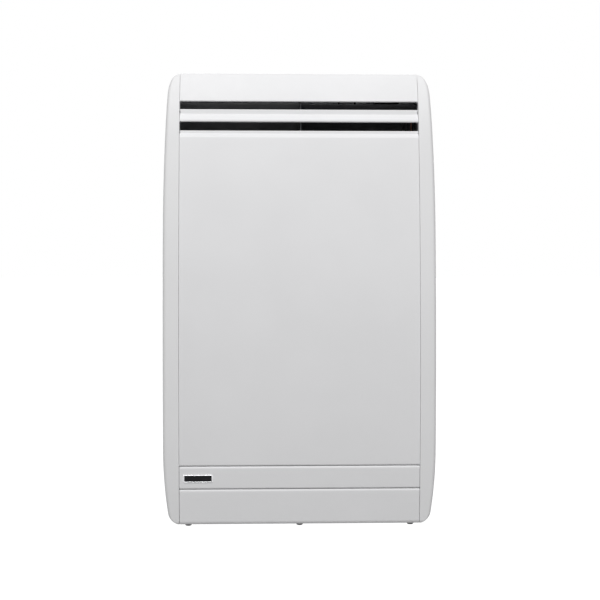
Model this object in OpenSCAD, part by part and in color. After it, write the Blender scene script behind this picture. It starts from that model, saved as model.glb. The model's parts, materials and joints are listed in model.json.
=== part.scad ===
/* [Casing] */
// Width of the casing over both side trims
body_w = 400; // [380:1:460]
// Height of the casing, without the screws under it
body_h = 666; // [640:1:760]
// Greatest depth, from the wall to the front face
body_d = 125; // [118:1:150]
// Gap between the wall and the back panel
wall_gap = 12.8; // [12.4:0.1:18]
// Thickness of the painted steel sheet
sheet_t = 1; // [0.8:0.1:1.5]
// Clearance between pieces that sit against each other
seat_gap = 0.3; // [0.1:0.05:0.5]

/* [Front curve] */
// Height of the point of the front that is furthest from the wall
apex_z = 210; // [150:1:260]
// How much nearer the wall the front is where the tighter curve at the top starts
crown_fall = 25; // [16:0.5:32]
// Height of the tighter curve at the top
crown_h = 90; // [70:1:110]
// Radius of the tighter curve at the top
crown_r = 358; // [320:1:500]
// Radius of the top front edge
top_edge_r = 10; // [6:0.5:12]
// Radius of the bottom front edge
bottom_edge_r = 5; // [3:0.5:6]

/* [Front pieces] */
// Height of the top cap's front
cap_h = 43.3; // [38:0.1:50]
// Height of the upper outlet slot
upper_slot_h = 12; // [8:0.1:12]
// Height of the slat between the slots
slat_h = 19.1; // [18:0.1:24]
// Height of the lower outlet slot
lower_slot_h = 12.9; // [8:0.1:13]
// Height of the lower strip
lower_strip_h = 52.4; // [44:0.1:56]
// Height of the strip that carries the plate
badge_strip_h = 32.7; // [28:0.1:40]
// Gap between the front panel and the strips
strip_gap = 1.3; // [0.8:0.1:2]
// Gap between the front pieces and each side trim
seam = 0.8; // [0.4:0.1:1.5]
// How far the tops of the slat and the front panel lie behind their faces
step_back = 5; // [3:0.5:7]
// Height of the set-back band on the slat
slat_band_h = 7.4; // [6:0.1:8.5]
// Height of the sloping shoulder on the slat
slat_shoulder_h = 7; // [5:0.1:8]
// Height of the set-back band on the front panel
panel_band_h = 4.8; // [3:0.1:7]
// Height of the sloping shoulder on the front panel
panel_shoulder_h = 4.6; // [3:0.1:7]
// Depth from the face to the back edge of each folded edge
fold_depth = 15.7; // [13:0.1:17]
// Radius of the folded edges
fold_r = 2.4; // [1.8:0.1:3]
// Radius of the top edges of the two strips
strip_edge_r = 4; // [2:0.1:5]

/* [Side trims] */
// Width of each side trim
trim_w = 23.3; // [21:0.1:30]
// Wall of the trims
trim_wall = 2.4; // [2:0.1:3]
// How far the trims stand in front of the panels
trim_proud = 1.2; // [0:0.1:2]
// Gap between the wall and the back edge of the trims
trim_back = 5; // [2:0.5:8]
// Depth of the trims' inner lips
trim_lip = 14; // [10:0.5:15]
// Distance from the top at which the trims start to draw in
top_taper_h = 236; // [150:1:250]
// Radius of the draw-in at the top
top_taper_r = 4000; // [2500:50:6000]
// Width of the top outer corners, each a quarter of an oval
top_corner_w = 17.3; // [14:0.1:18]
// Height of the top outer corners
top_corner_h = 38; // [20:0.5:45]
// Distance from the bottom at which the trims start to draw in
bottom_taper_h = 110; // [80:1:130]
// Radius of the draw-in at the bottom
bottom_taper_r = 650; // [500:10:1000]
// Radius of the bottom outer corners
bottom_corner_r = 20; // [16:0.5:22]

/* [Plate on the strip] */
// Width of the black plate
plate_w = 40; // [30:0.5:60]
// Height of the black plate
plate_h = 8.8; // [6:0.1:14]
// Height of the plate's middle above the strip's lower edge
plate_up = 15.6; // [12:0.1:20]
// Distance from the seam to the plate's left end
plate_inset = 7.8; // [4:0.1:60]
// Width of the rim round the plate
rim_w = 0.7; // [0.5:0.1:1.2]
// How far the plate stands in front of the strip
plate_t = 1; // [0.6:0.1:1.8]

/* [Wall rails] */
// Height of the lower rail's holes above the casing's bottom
lower_rail_z = 150; // [110:1:180]
// Distance between the hole rows of the two rails
rail_spacing = 360; // [320:1:380]
// Distance between the two holes of a rail
hole_spacing = 240; // [200:1:260]
// Diameter of the wall screw holes
wall_hole_d = 6; // [5:0.1:7]
// Length of each rail
rail_w = 300; // [280:1:320]
// Height of the rails' wall flange
rail_flange_h = 30; // [24:1:36]
// Thickness of the rails and hooks
rail_t = 2; // [1.5:0.1:2.4]
// Width of each hook
hook_w = 40; // [24:1:50]
// Distance between the two hooks of a row
hook_spacing = 150; // [120:1:170]
// How deep a hook reaches behind its rail
hook_grip = 10; // [8:0.5:11]

/* [Controls] */
// Length of the control tray, inside
tray_w = 114; // [110:1:124]
// Distance from the tray to the right end of the top cap
tray_inset = 15.9; // [13.2:0.1:40]
// Distance from the tray to the face at the top
tray_front_gap = 12.4; // [11.8:0.05:14]
// Distance from the wall to the inside of the tray
tray_back = 20.6; // [20.2:0.1:21.4]
// Depth of the tray under the top
tray_depth = 20; // [18:0.5:21]
// Wall of the tray
tray_wall = 1.6; // [1.2:0.1:2]
// Thickness of the flap
flap_t = 2; // [1.5:0.1:2.2]
// Diameter of the flap's hinge pin
flap_pin_d = 2.2; // [1.6:0.1:2.4]
// Diameter of the thermostat knob
knob_d = 28; // [22:0.5:32]
// Height of the thermostat knob
knob_h = 10.7; // [8:0.1:11]
// Diameter of the thermostat shaft
shaft_d = 6; // [4:0.5:7]
// Length of each rocker
rocker_l = 17.6; // [14:0.1:19]
// Width of each rocker
rocker_w = 11; // [8:0.5:12]
// Distance between the two rockers
rocker_spacing = 24; // [20:0.5:26]
// Tilt of the rockers, off or on
rocker_tilt = 10; // [6:1:12]

/* [Heating] */
// Length of the finned heating element
element_l = 250; // [180:1:260]
// Height of the element's middle
element_z = 120; // [110:1:135]
// Distance from the wall to the element's middle
element_d = 52; // [48:1:56]
// Height of the element's fins
element_h = 70; // [50:1:76]
// Depth of the element's fins
element_t = 34; // [24:1:40]
// Thickness of the heat shields
shield_t = 0.6; // [0.5:0.1:1]
// Width of each slot in the base
inlet_slot_w = 5; // [3:0.5:6]

/* [Fixings and cable] */
// Diameter of the three screw heads under the casing
cover_head_d = 10; // [9:0.5:14]
// Height of the three screw heads under the casing
cover_head_h = 4.5; // [3:0.5:7]
// Distance from the outer cover screws to the ends of the lower strip
cover_screw_inset = 12.1; // [8:0.1:32]
// Diameter of the cable that the gland takes
cable_d = 8; // [6:0.1:9]
// Diameter of the gland's thread
gland_d = 16; // [14:0.5:20]
// Diameter of the small sheet screws
screw_d = 3.2; // [2.5:0.1:3.8]

/* [Hidden] */
$fn = 48;
white = [0.94, 0.94, 0.96];
steel = [0.72, 0.74, 0.76];
dark = [0.12, 0.12, 0.13];

// Heights of the front pieces
slot_top = body_h - cap_h;
slat_top = slot_top - upper_slot_h;
slat_bottom = slat_top - slat_h;
panel_top = slat_bottom - lower_slot_h;
badge_bottom = lower_strip_h + strip_gap;
badge_top = badge_bottom + badge_strip_h;
panel_bottom = badge_top + strip_gap;
slat_face_top = slat_top - slat_band_h - slat_shoulder_h;
panel_face_top = panel_top - panel_band_h - panel_shoulder_h;

// Centres of the two arcs of the front, as depth and height
crown_z = body_h - crown_h;
face_r = (pow(crown_z - apex_z, 2) + pow(crown_fall, 2)) / (2 * crown_fall);
long_cd = body_d - face_r;
crown_turn = asin((crown_z - apex_z) / face_r);
crown_cd = long_cd + (face_r - crown_r) * cos(crown_turn);
crown_cz = apex_z + (face_r - crown_r) * sin(crown_turn);

// Widths
trim_x = body_w / 2 - trim_w;
front_x = trim_x - seam;
side_gap = 0.4;
side_x = trim_x + trim_wall + side_gap;
inner_d = wall_gap + sheet_t;
flange_d = inner_d + seat_gap;
frame_inset = fold_depth + seat_gap;
frame_flange_w = 14;
screw_clear = 0.2;
rim_clear = 0.05;

// Tabs behind the front pieces, and the screws that reach them from the side panels
tab_w = 13;
tab_h = 12;
tab_x = front_x - tab_w;
panel_screw_x = tab_x + tab_w / 2;
cap_screw_h = 16;
panel_screw_in = 32;
face_screw_in = 26;
panel_screw_heights = [
    lower_strip_h / 2,
    (badge_bottom + badge_top) / 2,
    panel_bottom + panel_screw_in,
    (panel_bottom + panel_face_top) / 2,
    panel_face_top - face_screw_in,
    (slat_top + slat_bottom) / 2,
    slot_top + cap_screw_h
];
screw_head_h = 2.4;
screw_reach = 4.5;

// Inside of the trims
trim_screw_heights = [panel_bottom + 24, panel_face_top - 14];
trim_screw_d = 60;
trim_screw_l = 13;
trim_rib_t = 2;
trim_rib_heights = [for (share = [0.09, 0.33, 0.58, 0.8]) share * body_h];

// Wall rails and the origin
upper_rail_z = lower_rail_z + rail_spacing;
origin_z = (lower_rail_z + upper_rail_z) / 2;
rail_step = 6;
rail_lip_h = 20;
rail_bend_r = 1;
hook_clear = 0.7;
hook_bend_r = 0.6;
lip_top = rail_flange_h / 2 + rail_lip_h;

// Casing behind the front pieces
back_top_gap = 4;
side_top_gap = 5;
side_rear_top_gap = 26;
cap_flange_h = 22;
cover_screw_x = front_x - cover_screw_inset;
cover_screw_d = face_d(0) - 10.5;
cover_shank_d = 5;
cover_shank_l = 12;
cover_nut_d = 9.2;
cover_nut_h = 4;
strip_foot_w = 18;
base_z = sheet_t + 2 * seat_gap;
base_flange_gap = 11;
side_lift = 1.8;
side_bottom = trim_wall + 2 * seat_gap + side_lift;
buffer_x = side_x - 27.2;
buffer_z = 30;
buffer_r = 8;
buffer_stem_r = 3;
support_x = 2.5;
support_t = 1.6;
support_top_gap = 24;

// The plate's place on the strip
plate_mid_x = -trim_x + plate_inset + plate_w / 2;
plate_z = badge_bottom + plate_up;
plate_pin_r = 1;
plate_pin_l = 2.4;
plate_seat = 0.1;

// Base slots
inlet_pitch = 2.4 * inlet_slot_w;
inlet_x0 = 29.6 - front_x;
inlet_back_d = 24;
inlet_front_d = cover_screw_d - 12;

// Controls
tray_x = front_x - tray_inset - tray_w;
tray_front = face_d(body_h) - tray_front_gap;
tray_floor = body_h - tray_depth;
tray_floor_t = 2;
tray_collar_w = 3;
tray_collar_l = 2;
tray_collar_t = 1.2;
hinge_d = tray_back + 4;
hinge_z = body_h - 3.2;
barrel_r = flap_pin_d / 2 + 1;
barrel_l = 12;
barrel_web = 1.2;
pin_clear = 0.05;
flap_clear = 0.4;
finger_r = 9;
control_d = (tray_back + tray_front) / 2 + 1.2;
knob_x = tray_x + tray_w - 25;
knob_gap = 1.3;
knob_skirt_h = 3.6;
knob_grip_w = 6;
power_x = tray_x + 16;
heat_x = power_x + rocker_spacing;
rocker_axis_z = tray_floor - 0.8;
rocker_clear = 0.3;
rocker_end_clear = 1;
rocker_pin_r = 1.2;
rocker_pin_out = 0.8;
rocker_top = 6.2;
rocker_dip = 4.6;
rocker_foot = 3.4;
rocker_foot_w = 4;
switch_wall = 1.6;
switch_rim_h = 1.6;
switch_pocket_h = 8;
switch_depth = 15;
thermostat_size = 34;
thermostat_top = tray_floor - 2.4;
thermostat_bottom = tray_floor - 21;
bush_d = shaft_d + 4;
bush_h = 3;
shaft_bottom = tray_floor - 16;
shaft_top = tray_floor + knob_gap + knob_h - 2;

// Heating
element_hub_r = 8;
element_web_t = 2;
element_fins = 6;
element_fin_t = 1.2;
element_end_d = 12;
element_end_l = 12;
element_stud_r = 2;
element_stud_l = 5;
bracket_x = element_l / 2 + 6;
bracket_foot_w = 12;
bracket_reach = 14;
bracket_drop = 24;
bracket_rise = 18;
shield_x = side_x - 27.2;
shield_bottom = element_z + element_h / 2 + 10;
shield_top = crown_z - 50;
shield_step = 6;
front_shield_bottom = element_z - 20;
front_shield_gap = 8;
cutout_x = 70;
cutout_z = shield_bottom + 22;
cutout_rim_r = 11;
cutout_r = 8;
cutout_h = 11;
cutout_tag_l = 6;

// Air deflectors
deflector_top = slot_top - 3;
deflector_drop = 1.5;
deflector_h = 74;
deflector_bend_h = 20;
deflector_bend_r = 38;
deflector_gap = 2;

// Cable, terminals and bulb
gland_x = side_x - 31.2;
gland_depth = 52;
gland_hex_d = gland_d + 8;
gland_hex_h = 6;
gland_nose_h = 5;
gland_thread_h = 12;
gland_nut_h = 4.5;
block_x = gland_x - 42;
block_z = 56;
block_size = [46, 22, 20];
block_pitch = 14;
block_hole_r = 2.6;
block_hole_depth = 10;
earth_x = block_x - 42;
earth_r = 2.5;
earth_l = 14;
earth_nut_d = 9.2;
earth_nut_h = 4;
bulb_d = 7;
bulb_l = 80;
bulb_z = 16;
bulb_depth = 34;
bulb_x = 20;
clip_w = 8;
clip_t = 1.2;

// Routes of the wires and of the thermostat's capillary, as [x, depth, height]
wire_r = 1.4;
wire_bend_r = 4;
wire_gap = 0.3;
riser_x = side_x - 13.2;
riser_step = 6;
riser_d = flange_d + 12;
riser_top = tray_floor - 28;
post_d = flange_d + block_size[1] - block_hole_depth + 1;
switch_foot = tray_floor - switch_depth - wire_gap;
power_wire = [
    [block_x - block_pitch, post_d, block_z],
    [block_x - block_pitch, post_d + 17, block_z],
    [block_x - block_pitch, post_d + 17, block_z + 16],
    [riser_x, riser_d, block_z + 16],
    [riser_x, riser_d, riser_top],
    [power_x, riser_d, riser_top],
    [power_x, control_d - 1, riser_top],
    [power_x, control_d - 1, switch_foot]
];
heat_wire = [
    [block_x, post_d, block_z],
    [block_x, post_d + 11, block_z],
    [block_x, post_d + 11, block_z + 12],
    [riser_x - riser_step, riser_d - 4, block_z + 12],
    [riser_x - riser_step, riser_d - 4, riser_top - riser_step],
    [heat_x, riser_d - 4, riser_top - riser_step],
    [heat_x, control_d - 1, riser_top - riser_step + 2],
    [heat_x, control_d - 1, switch_foot]
];
element_wire_x = element_l / 2 + element_end_l + element_stud_l;
element_wire = [
    [block_x + block_pitch, post_d, block_z],
    [block_x + block_pitch, element_d + 2, block_z],
    [block_x + block_pitch, element_d + 2, block_z + 20],
    [element_wire_x + 8, element_d, block_z + 20],
    [element_wire_x + 8, element_d, element_z],
    [element_wire_x + wire_gap, element_d, element_z]
];
capillary_r = 1;
capillary_x = side_x - 6.2;
capillary_drop = 13;
capillary_rise = 14;
capillary_sweep = 31;
capillary = [
    [knob_x + 11, control_d - 3, thermostat_bottom - wire_gap],
    [knob_x + 11, control_d - 3, thermostat_bottom - capillary_drop],
    [capillary_x, bulb_depth, thermostat_bottom - capillary_drop],
    [capillary_x, bulb_depth, bulb_z + capillary_rise],
    [capillary_x - capillary_sweep, bulb_depth, bulb_z],
    [bulb_x + bulb_l / 2 + wire_gap, bulb_depth, bulb_z]
];

// Depth of the front curve at height z, taken in by inset
function face_d(z, inset = 0) =
    z < apex_z + (face_r - inset) * sin(crown_turn)
        ? long_cd + sqrt(pow(face_r - inset, 2) - pow(z - apex_z, 2))
        : crown_cd + sqrt(pow(crown_r - inset, 2) - pow(z - crown_cz, 2));

// Lean of the front at height z, in degrees back from upright
function face_lean(z) =
    z < crown_z ? asin((z - apex_z) / face_r) : asin((z - crown_cz) / crown_r);

// Rows of the front curve from height z1 down to z0, each [depth, height, fillet radius]
function face_rows(z1, z0, inset = 0, pitch = 8) =
    let (n = max(1, ceil((z1 - z0) / pitch)))
    [for (i = [0:n]) let (z = z1 + (z0 - z1) * i / n) [face_d(z, inset), z, 0]];

function unit(v) = v / norm(v);

// Points of a fillet of radius r at corner b, between a and c
function fillet(a, b, c, r, n = 5) =
    let (u = unit(a - b), v = unit(c - b))
    let (half = acos(u * v) / 2, turn = 180 - 2 * half)
    let (centre = b + unit(u + v) * r / sin(half))
    let (s = b + u * r / tan(half) - centre, e = b + v * r / tan(half) - centre)
    [for (i = [0:n]) centre + (s * sin(turn * (1 - i / n)) + e * sin(turn * i / n)) / sin(turn)];

function flat(row) = [row[0], row[1]];

// Outline through rows of [depth, height, fillet radius]
function rounded(rows) =
    [for (i = [0:len(rows) - 1])
        each rows[i][2] == 0
            ? [flat(rows[i])]
            : fillet(flat(rows[i - 1]), flat(rows[i]), flat(rows[i + 1]), rows[i][2])];

function right_of(v) = [v[1], -v[0]];

// The path moved t to the right of its own direction, with mitred corners
function beside(path, t) =
    let (last = len(path) - 1)
    [for (i = [0:last])
        let (before = max(i, 1), after = min(i, last - 1))
        let (n0 = right_of(unit(path[before] - path[before - 1])))
        let (n1 = right_of(unit(path[after + 1] - path[after])))
        path[i] + (n0 + n1) * t / (1 + n0 * n1)];

function reversed(path) = [for (i = [len(path) - 1:-1:0]) path[i]];

// Outline of a sheet of thickness t folded along the rows
function folded(rows, t) =
    let (path = rounded(rows))
    concat(path, reversed(beside(path, t)));

// Outline between two insets of the front curve, from height z0 to z1
function band(z0, z1, inset_front, inset_back, pitch = 8) =
    concat(
        [for (row = face_rows(z1, z0, inset_front, pitch)) flat(row)],
        reversed([for (row = face_rows(z1, z0, inset_back, pitch)) flat(row)])
    );

// Outline from a flat back to the front curve, from height z0 to z1
function slab_profile(z0, z1, back, inset, pitch = 8) =
    concat([[back, z0], [back, z1]], [for (row = face_rows(z1, z0, inset, pitch)) flat(row)]);

// Side outline of a trim taken in by inset
function trim_profile(inset, back) =
    let (out = inset - trim_proud, z1 = body_h - inset, z0 = inset)
    let (top_r = max(top_edge_r - inset, 1), bottom_r = max(bottom_edge_r - inset, 1))
    rounded(concat(
        [[back, z1, 0], [face_d(z1, out), z1, top_r]],
        face_rows(z1 - top_edge_r, crown_z, out, 10),
        face_rows(crown_z - 30, bottom_edge_r + 8, out, 36),
        [[face_d(z0, out), z0, bottom_r], [back, z0, 0]]
    ));

// Outer corner of a trim seen from the front: a slow draw-in, then a quarter of an oval that
// carries on from its slope
function trim_corner(z_end, up, taper_h, taper_r, corner_w, corner_h, inset) =
    let (first_turn = asin((taper_h - corner_h) / taper_r))
    let (lead = corner_h * sin(atan(tan(first_turn) * corner_h / corner_w)))
    let (turn = asin((taper_h - corner_h + lead) / taper_r))
    let (start = atan(tan(turn) * corner_h / corner_w))
    let (x_mid = body_w / 2 - taper_r, z_start = z_end - up * taper_h)
    let (x_end = x_mid + taper_r * cos(turn) - corner_w * cos(start), z_mid = z_end - up * corner_h)
    concat(
        [for (i = [0:5]) let (a = turn * i / 6)
            [x_mid + (taper_r - inset) * cos(a), z_start + up * (taper_r - inset) * sin(a)]],
        [for (i = [0:8]) let (a = start + (90 - start) * i / 8)
            [x_end + (corner_w - inset) * cos(a), z_mid + up * (corner_h - inset) * sin(a)]]
    );

// Front outline of the right trim taken in by inset, from well inside it outwards
function trim_outline(inset) =
    concat(
        [[trim_x - trim_w, inset]],
        reversed(trim_corner(
            0, -1, bottom_taper_h, bottom_taper_r, bottom_corner_r, bottom_corner_r, inset
        )),
        trim_corner(body_h, 1, top_taper_h, top_taper_r, top_corner_w, top_corner_h, inset),
        [[trim_x - trim_w, body_h - inset]]
    );

// Moves the casing, which is drawn up from its bottom edge, to the frame's origin
module place() {
    translate([0, 0, -origin_z]) children();
}

// Extrudes a side outline of depth and height from x0 to x1
module across(x0, x1) {
    translate([x1, 0, 0]) rotate([90, 0, -90]) linear_extrude(x1 - x0) children();
}

// Extrudes a front outline of x and height from depth d0 to d1
module through_depth(d0, d1) {
    translate([0, -d0, 0]) rotate([90, 0, 0]) linear_extrude(d1 - d0) children();
}

// A box from its lowest and highest x, depth and height
module block(x0, x1, d0, d1, z0, z1) {
    translate([x0, -d1, z0]) cube([x1 - x0, d1 - d0, z1 - z0]);
}

// Moves children to a place in x, depth and height
module at(x, d, z) {
    translate([x, -d, z]) children();
}

// Sets children under the face at height z, with their +Z along its outward normal
module at_face(x, z, inset) {
    lean = face_lean(z);
    translate([x, -(face_d(z) - inset * cos(lean)), z - inset * sin(lean)])
        rotate([90 - lean, 0, 0])
            children();
}

// A rod along X, from x0 to x1
module rod_x(x0, x1, d, z, r) {
    at(x0, d, z) rotate([0, 90, 0]) cylinder(r = r, h = x1 - x0);
}

// A rod along the depth, from depth d0 to d1
module rod_d(x, d0, d1, z, r) {
    at(x, d0, z) rotate([90, 0, 0]) cylinder(r = r, h = d1 - d0);
}

// A wire with rounded bends through points of [x, depth, height]
module wire(points, r, sides = 8) {
    last = len(points) - 1;
    corners = [for (p = points) [p[0], -p[1], p[2]]];
    path = concat(
        [corners[0]],
        [for (i = [1:last - 1]) each fillet(corners[i - 1], corners[i], corners[i + 1], wire_bend_r, 3)],
        [corners[last]]
    );
    end = len(path) - 1;
    rings = [
        for (i = [0:end])
            let (along = unit(path[min(i + 1, end)] - path[max(i - 1, 0)]))
            let (out = unit(cross(along, [0.12, 1, 0.25])), side = cross(along, out))
            for (k = [0:sides - 1])
                let (a = 360 * k / sides)
                path[i] + r * (out * cos(a) + side * sin(a))
    ];
    polyhedron(rings, concat(
        [[for (k = [0:sides - 1]) k]],
        [
            for (i = [0:end - 1], k = [0:sides - 1])
                let (a = i * sides + k, b = i * sides + (k + 1) % sides)
                each [[a, a + sides, b + sides], [a, b + sides, b]]
        ],
        [[for (k = [sides - 1:-1:0]) end * sides + k]]
    ));
}

// Children on both sides of the middle
module both_sides() {
    children();
    mirror([1, 0, 0]) children();
}

// Holes for the screws at the given heights, each along the face's normal
module panel_screw_holes(heights, d) {
    both_sides()
        for (z = heights)
            at_face(panel_screw_x, z, frame_inset + 4)
                cylinder(d = d, h = 8);
}

// A front piece: its folded sheet, its side returns and the tabs that its screws reach
module front_piece(rows, return_z0, return_z1, screw_heights) {
    difference() {
        union() {
            across(-front_x, front_x) polygon(folded(rows, sheet_t));
            both_sides() {
                across(front_x - sheet_t, front_x)
                    polygon(band(return_z0, return_z1, sheet_t / 2, fold_depth, 16));
                for (z = screw_heights)
                    across(tab_x, front_x - sheet_t / 2)
                        polygon(band(z - tab_h / 2, z + tab_h / 2, fold_depth - sheet_t, fold_depth));
            }
        }
        panel_screw_holes(screw_heights, screw_d + screw_clear);
    }
}

module wall_rail(z) {
    color(steel)
    place()
    difference() {
        across(-rail_w / 2, rail_w / 2)
            polygon(folded([
                [0, z - rail_flange_h / 2, 0],
                [0, z + rail_flange_h / 2, rail_t + rail_bend_r],
                [rail_step, z + rail_flange_h / 2, rail_bend_r],
                [rail_step, z + lip_top, 0]
            ], rail_t));
        for (side = [-1, 1])
            rod_d(side * hole_spacing / 2, -1, rail_t + 1, z, wall_hole_d / 2);
    }
}

module upper_wall_rail() {
    wall_rail(upper_rail_z);
}

module lower_wall_rail() {
    wall_rail(lower_rail_z);
}

module hanging_hooks() {
    outer_d = wall_gap - seat_gap;
    tongue_d = rail_step - hook_clear - rail_t;
    color(steel)
    place()
    for (z = [lower_rail_z, upper_rail_z], side = [-1, 1]) {
        roof_z = z + lip_top + seat_gap + rail_t;
        across(side * hook_spacing / 2 - hook_w / 2, side * hook_spacing / 2 + hook_w / 2)
            polygon(folded([
                [tongue_d, z + lip_top - hook_grip, 0],
                [tongue_d, roof_z, rail_t + hook_bend_r],
                [outer_d, roof_z, rail_t + hook_bend_r],
                [outer_d, z + rail_flange_h / 2, 0]
            ], rail_t));
    }
}

module back_panel() {
    color(steel)
    place()
    difference() {
        block(
            -side_x + seat_gap, side_x - seat_gap, wall_gap, inner_d,
            base_z + sheet_t + seat_gap, body_h - back_top_gap
        );
        both_sides() rod_d(buffer_x, 0, inner_d + 1, buffer_z, buffer_stem_r + screw_clear);
        rod_d(earth_x, 0, inner_d + 1, block_z, earth_r + screw_clear);
    }
}

module wall_buffers() {
    color(dark)
    place()
    both_sides() {
        rod_d(buffer_x, 0.5, wall_gap - seat_gap, buffer_z, buffer_r);
        rod_d(buffer_x, wall_gap - seat_gap - 1, inner_d + 2, buffer_z, buffer_stem_r);
    }
}

// The right side panel: its plate and the flanges folded inwards from it
module side_panel() {
    plate_top = body_h - side_top_gap;
    flange_x = side_x - frame_flange_w;
    difference() {
        union() {
            across(side_x, side_x + sheet_t)
                polygon(slab_profile(side_bottom, plate_top, flange_d, frame_inset, 16));
            block(
                flange_x, side_x + sheet_t / 2, flange_d, flange_d + sheet_t,
                side_bottom, body_h - side_rear_top_gap
            );
            block(
                flange_x, side_x + sheet_t / 2, flange_d, cover_screw_d - base_flange_gap,
                side_bottom, side_bottom + sheet_t
            );
            across(flange_x, side_x + sheet_t / 2)
                polygon(band(side_bottom, panel_face_top - 8, frame_inset, frame_inset + sheet_t, 16));
            across(flange_x, side_x + sheet_t / 2)
                polygon(band(slat_bottom + 3, slat_top - 4, frame_inset, frame_inset + sheet_t));
            across(flange_x, side_x + sheet_t / 2)
                polygon(band(slot_top + 8, plate_top - 8, frame_inset, frame_inset + sheet_t));
        }
        for (z = trim_screw_heights)
            rod_x(side_x - 1, side_x + sheet_t + 1, trim_screw_d, z, screw_d / 2 + screw_clear);
        panel_screw_holes(panel_screw_heights, screw_d + 2 * screw_clear);
    }
}

module right_side_panel() {
    color(steel) place() side_panel();
}

module left_side_panel() {
    color(steel) place() mirror([1, 0, 0]) side_panel();
}

module base_grille() {
    last_x = gland_x - gland_hex_d - 2 * inlet_slot_w + 1;
    count = floor((last_x - inlet_x0 - inlet_slot_w) / inlet_pitch);
    color(white)
    place()
    difference() {
        block(
            -front_x, front_x, flange_d, face_d(0) - bottom_edge_r - 1.5 * sheet_t,
            base_z, base_z + sheet_t
        );
        for (i = [0:count])
            block(
                inlet_x0 + i * inlet_pitch, inlet_x0 + i * inlet_pitch + inlet_slot_w,
                inlet_back_d, inlet_front_d, base_z - 1, base_z + sheet_t + 1
            );
        at(gland_x, gland_depth, base_z - 1) cylinder(r = gland_d / 2 + screw_clear, h = sheet_t + 2);
        for (side = [-1, 0, 1])
            at(side * cover_screw_x, cover_screw_d, base_z - 1)
                cylinder(r = cover_shank_d / 2 + screw_clear, h = sheet_t + 2);
    }
}

// The right trim's outer form, taken in by inset and starting at x_in
module trim_form(inset, x_in, back) {
    intersection() {
        across(x_in, body_w / 2 + 1) polygon(trim_profile(inset, back));
        through_depth(back - 1, body_d + trim_proud + 1) polygon(trim_outline(inset));
    }
}

module trim() {
    boss_x = side_x + sheet_t + seat_gap;
    difference() {
        union() {
            difference() {
                trim_form(0, trim_x, trim_back);
                trim_form(trim_wall, trim_x + trim_wall, trim_back - 1);
                across(trim_x - 1, trim_x + trim_wall + 1)
                    polygon(slab_profile(trim_wall, body_h - trim_wall, trim_back - 1, trim_lip, 16));
            }
            for (z = trim_rib_heights)
                block(
                    boss_x, body_w / 2 - trim_wall, inner_d, face_d(z, trim_wall / 2),
                    z, z + trim_rib_t
                );
            for (z = trim_screw_heights)
                rod_x(boss_x, body_w / 2 - trim_wall / 2, trim_screw_d, z, 1.5 * screw_d);
        }
        for (z = trim_screw_heights)
            rod_x(boss_x - 1, boss_x + trim_screw_l, trim_screw_d, z, screw_d / 2 + screw_clear / 2);
    }
}

module right_trim() {
    color(white) place() trim();
}

module left_trim() {
    color(white) place() mirror([1, 0, 0]) trim();
}

module trim_screws() {
    color(steel)
    place()
    both_sides()
        for (z = trim_screw_heights) {
            rod_x(side_x - seat_gap - screw_head_h, side_x - seat_gap, trim_screw_d, z, screw_d);
            rod_x(side_x - seat_gap - 0.1, side_x + trim_screw_l, trim_screw_d, z, screw_d / 2);
        }
}

module panel_screws() {
    color(steel)
    place()
    both_sides()
        for (z = panel_screw_heights)
            at_face(panel_screw_x, z, frame_inset + sheet_t + seat_gap) {
                translate([0, 0, -screw_head_h]) cylinder(d = 2 * screw_d, h = screw_head_h);
                translate([0, 0, -0.1]) cylinder(d = screw_d, h = screw_reach);
            }
}

module top_cap() {
    cut = tray_wall + seat_gap;
    color(white)
    place()
    difference() {
        front_piece(
            concat(
                [
                    [flange_d, body_h - cap_flange_h, 0],
                    [flange_d, body_h, fold_r],
                    [face_d(body_h), body_h, top_edge_r]
                ],
                face_rows(body_h - top_edge_r, slot_top + 6),
                [[face_d(slot_top), slot_top, fold_r], [face_d(slot_top, fold_depth), slot_top, 0]]
            ),
            slot_top + sheet_t / 2, body_h - top_edge_r, [slot_top + cap_screw_h]
        );
        block(
            tray_x - cut, tray_x + tray_w + cut, tray_back - cut, tray_front + cut,
            body_h - sheet_t - 1, body_h + 1
        );
    }
}

module louvre_slat() {
    band_z = slat_top - slat_band_h;
    color(white)
    place()
    front_piece(
        [
            [face_d(slat_top, fold_depth), slat_top, 0],
            [face_d(band_z) - step_back, slat_top, 1.6],
            [face_d(band_z) - step_back, band_z, 1.6],
            [face_d(slat_face_top), slat_face_top, 1.3],
            [face_d(slat_bottom), slat_bottom, fold_r],
            [face_d(slat_bottom, fold_depth), slat_bottom, 0]
        ],
        slat_bottom + sheet_t / 2, slat_face_top, [(slat_top + slat_bottom) / 2]
    );
}

module front_panel() {
    band_z = panel_top - panel_band_h;
    color(white)
    place()
    front_piece(
        concat(
            [
                [face_d(panel_top, fold_depth), panel_top, 0],
                [face_d(band_z) - step_back, panel_top, 1.4],
                [face_d(band_z) - step_back, band_z, 1.4]
            ],
            [[face_d(panel_face_top), panel_face_top, fold_r]],
            face_rows(panel_face_top - 12, panel_bottom + 12, 0, 28),
            [
                [face_d(panel_bottom), panel_bottom, fold_r],
                [face_d(panel_bottom, fold_depth), panel_bottom, 0]
            ]
        ),
        panel_bottom + sheet_t / 2, panel_face_top - 2,
        [panel_bottom + panel_screw_in, (panel_bottom + panel_face_top) / 2, panel_face_top - face_screw_in]
    );
}

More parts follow.
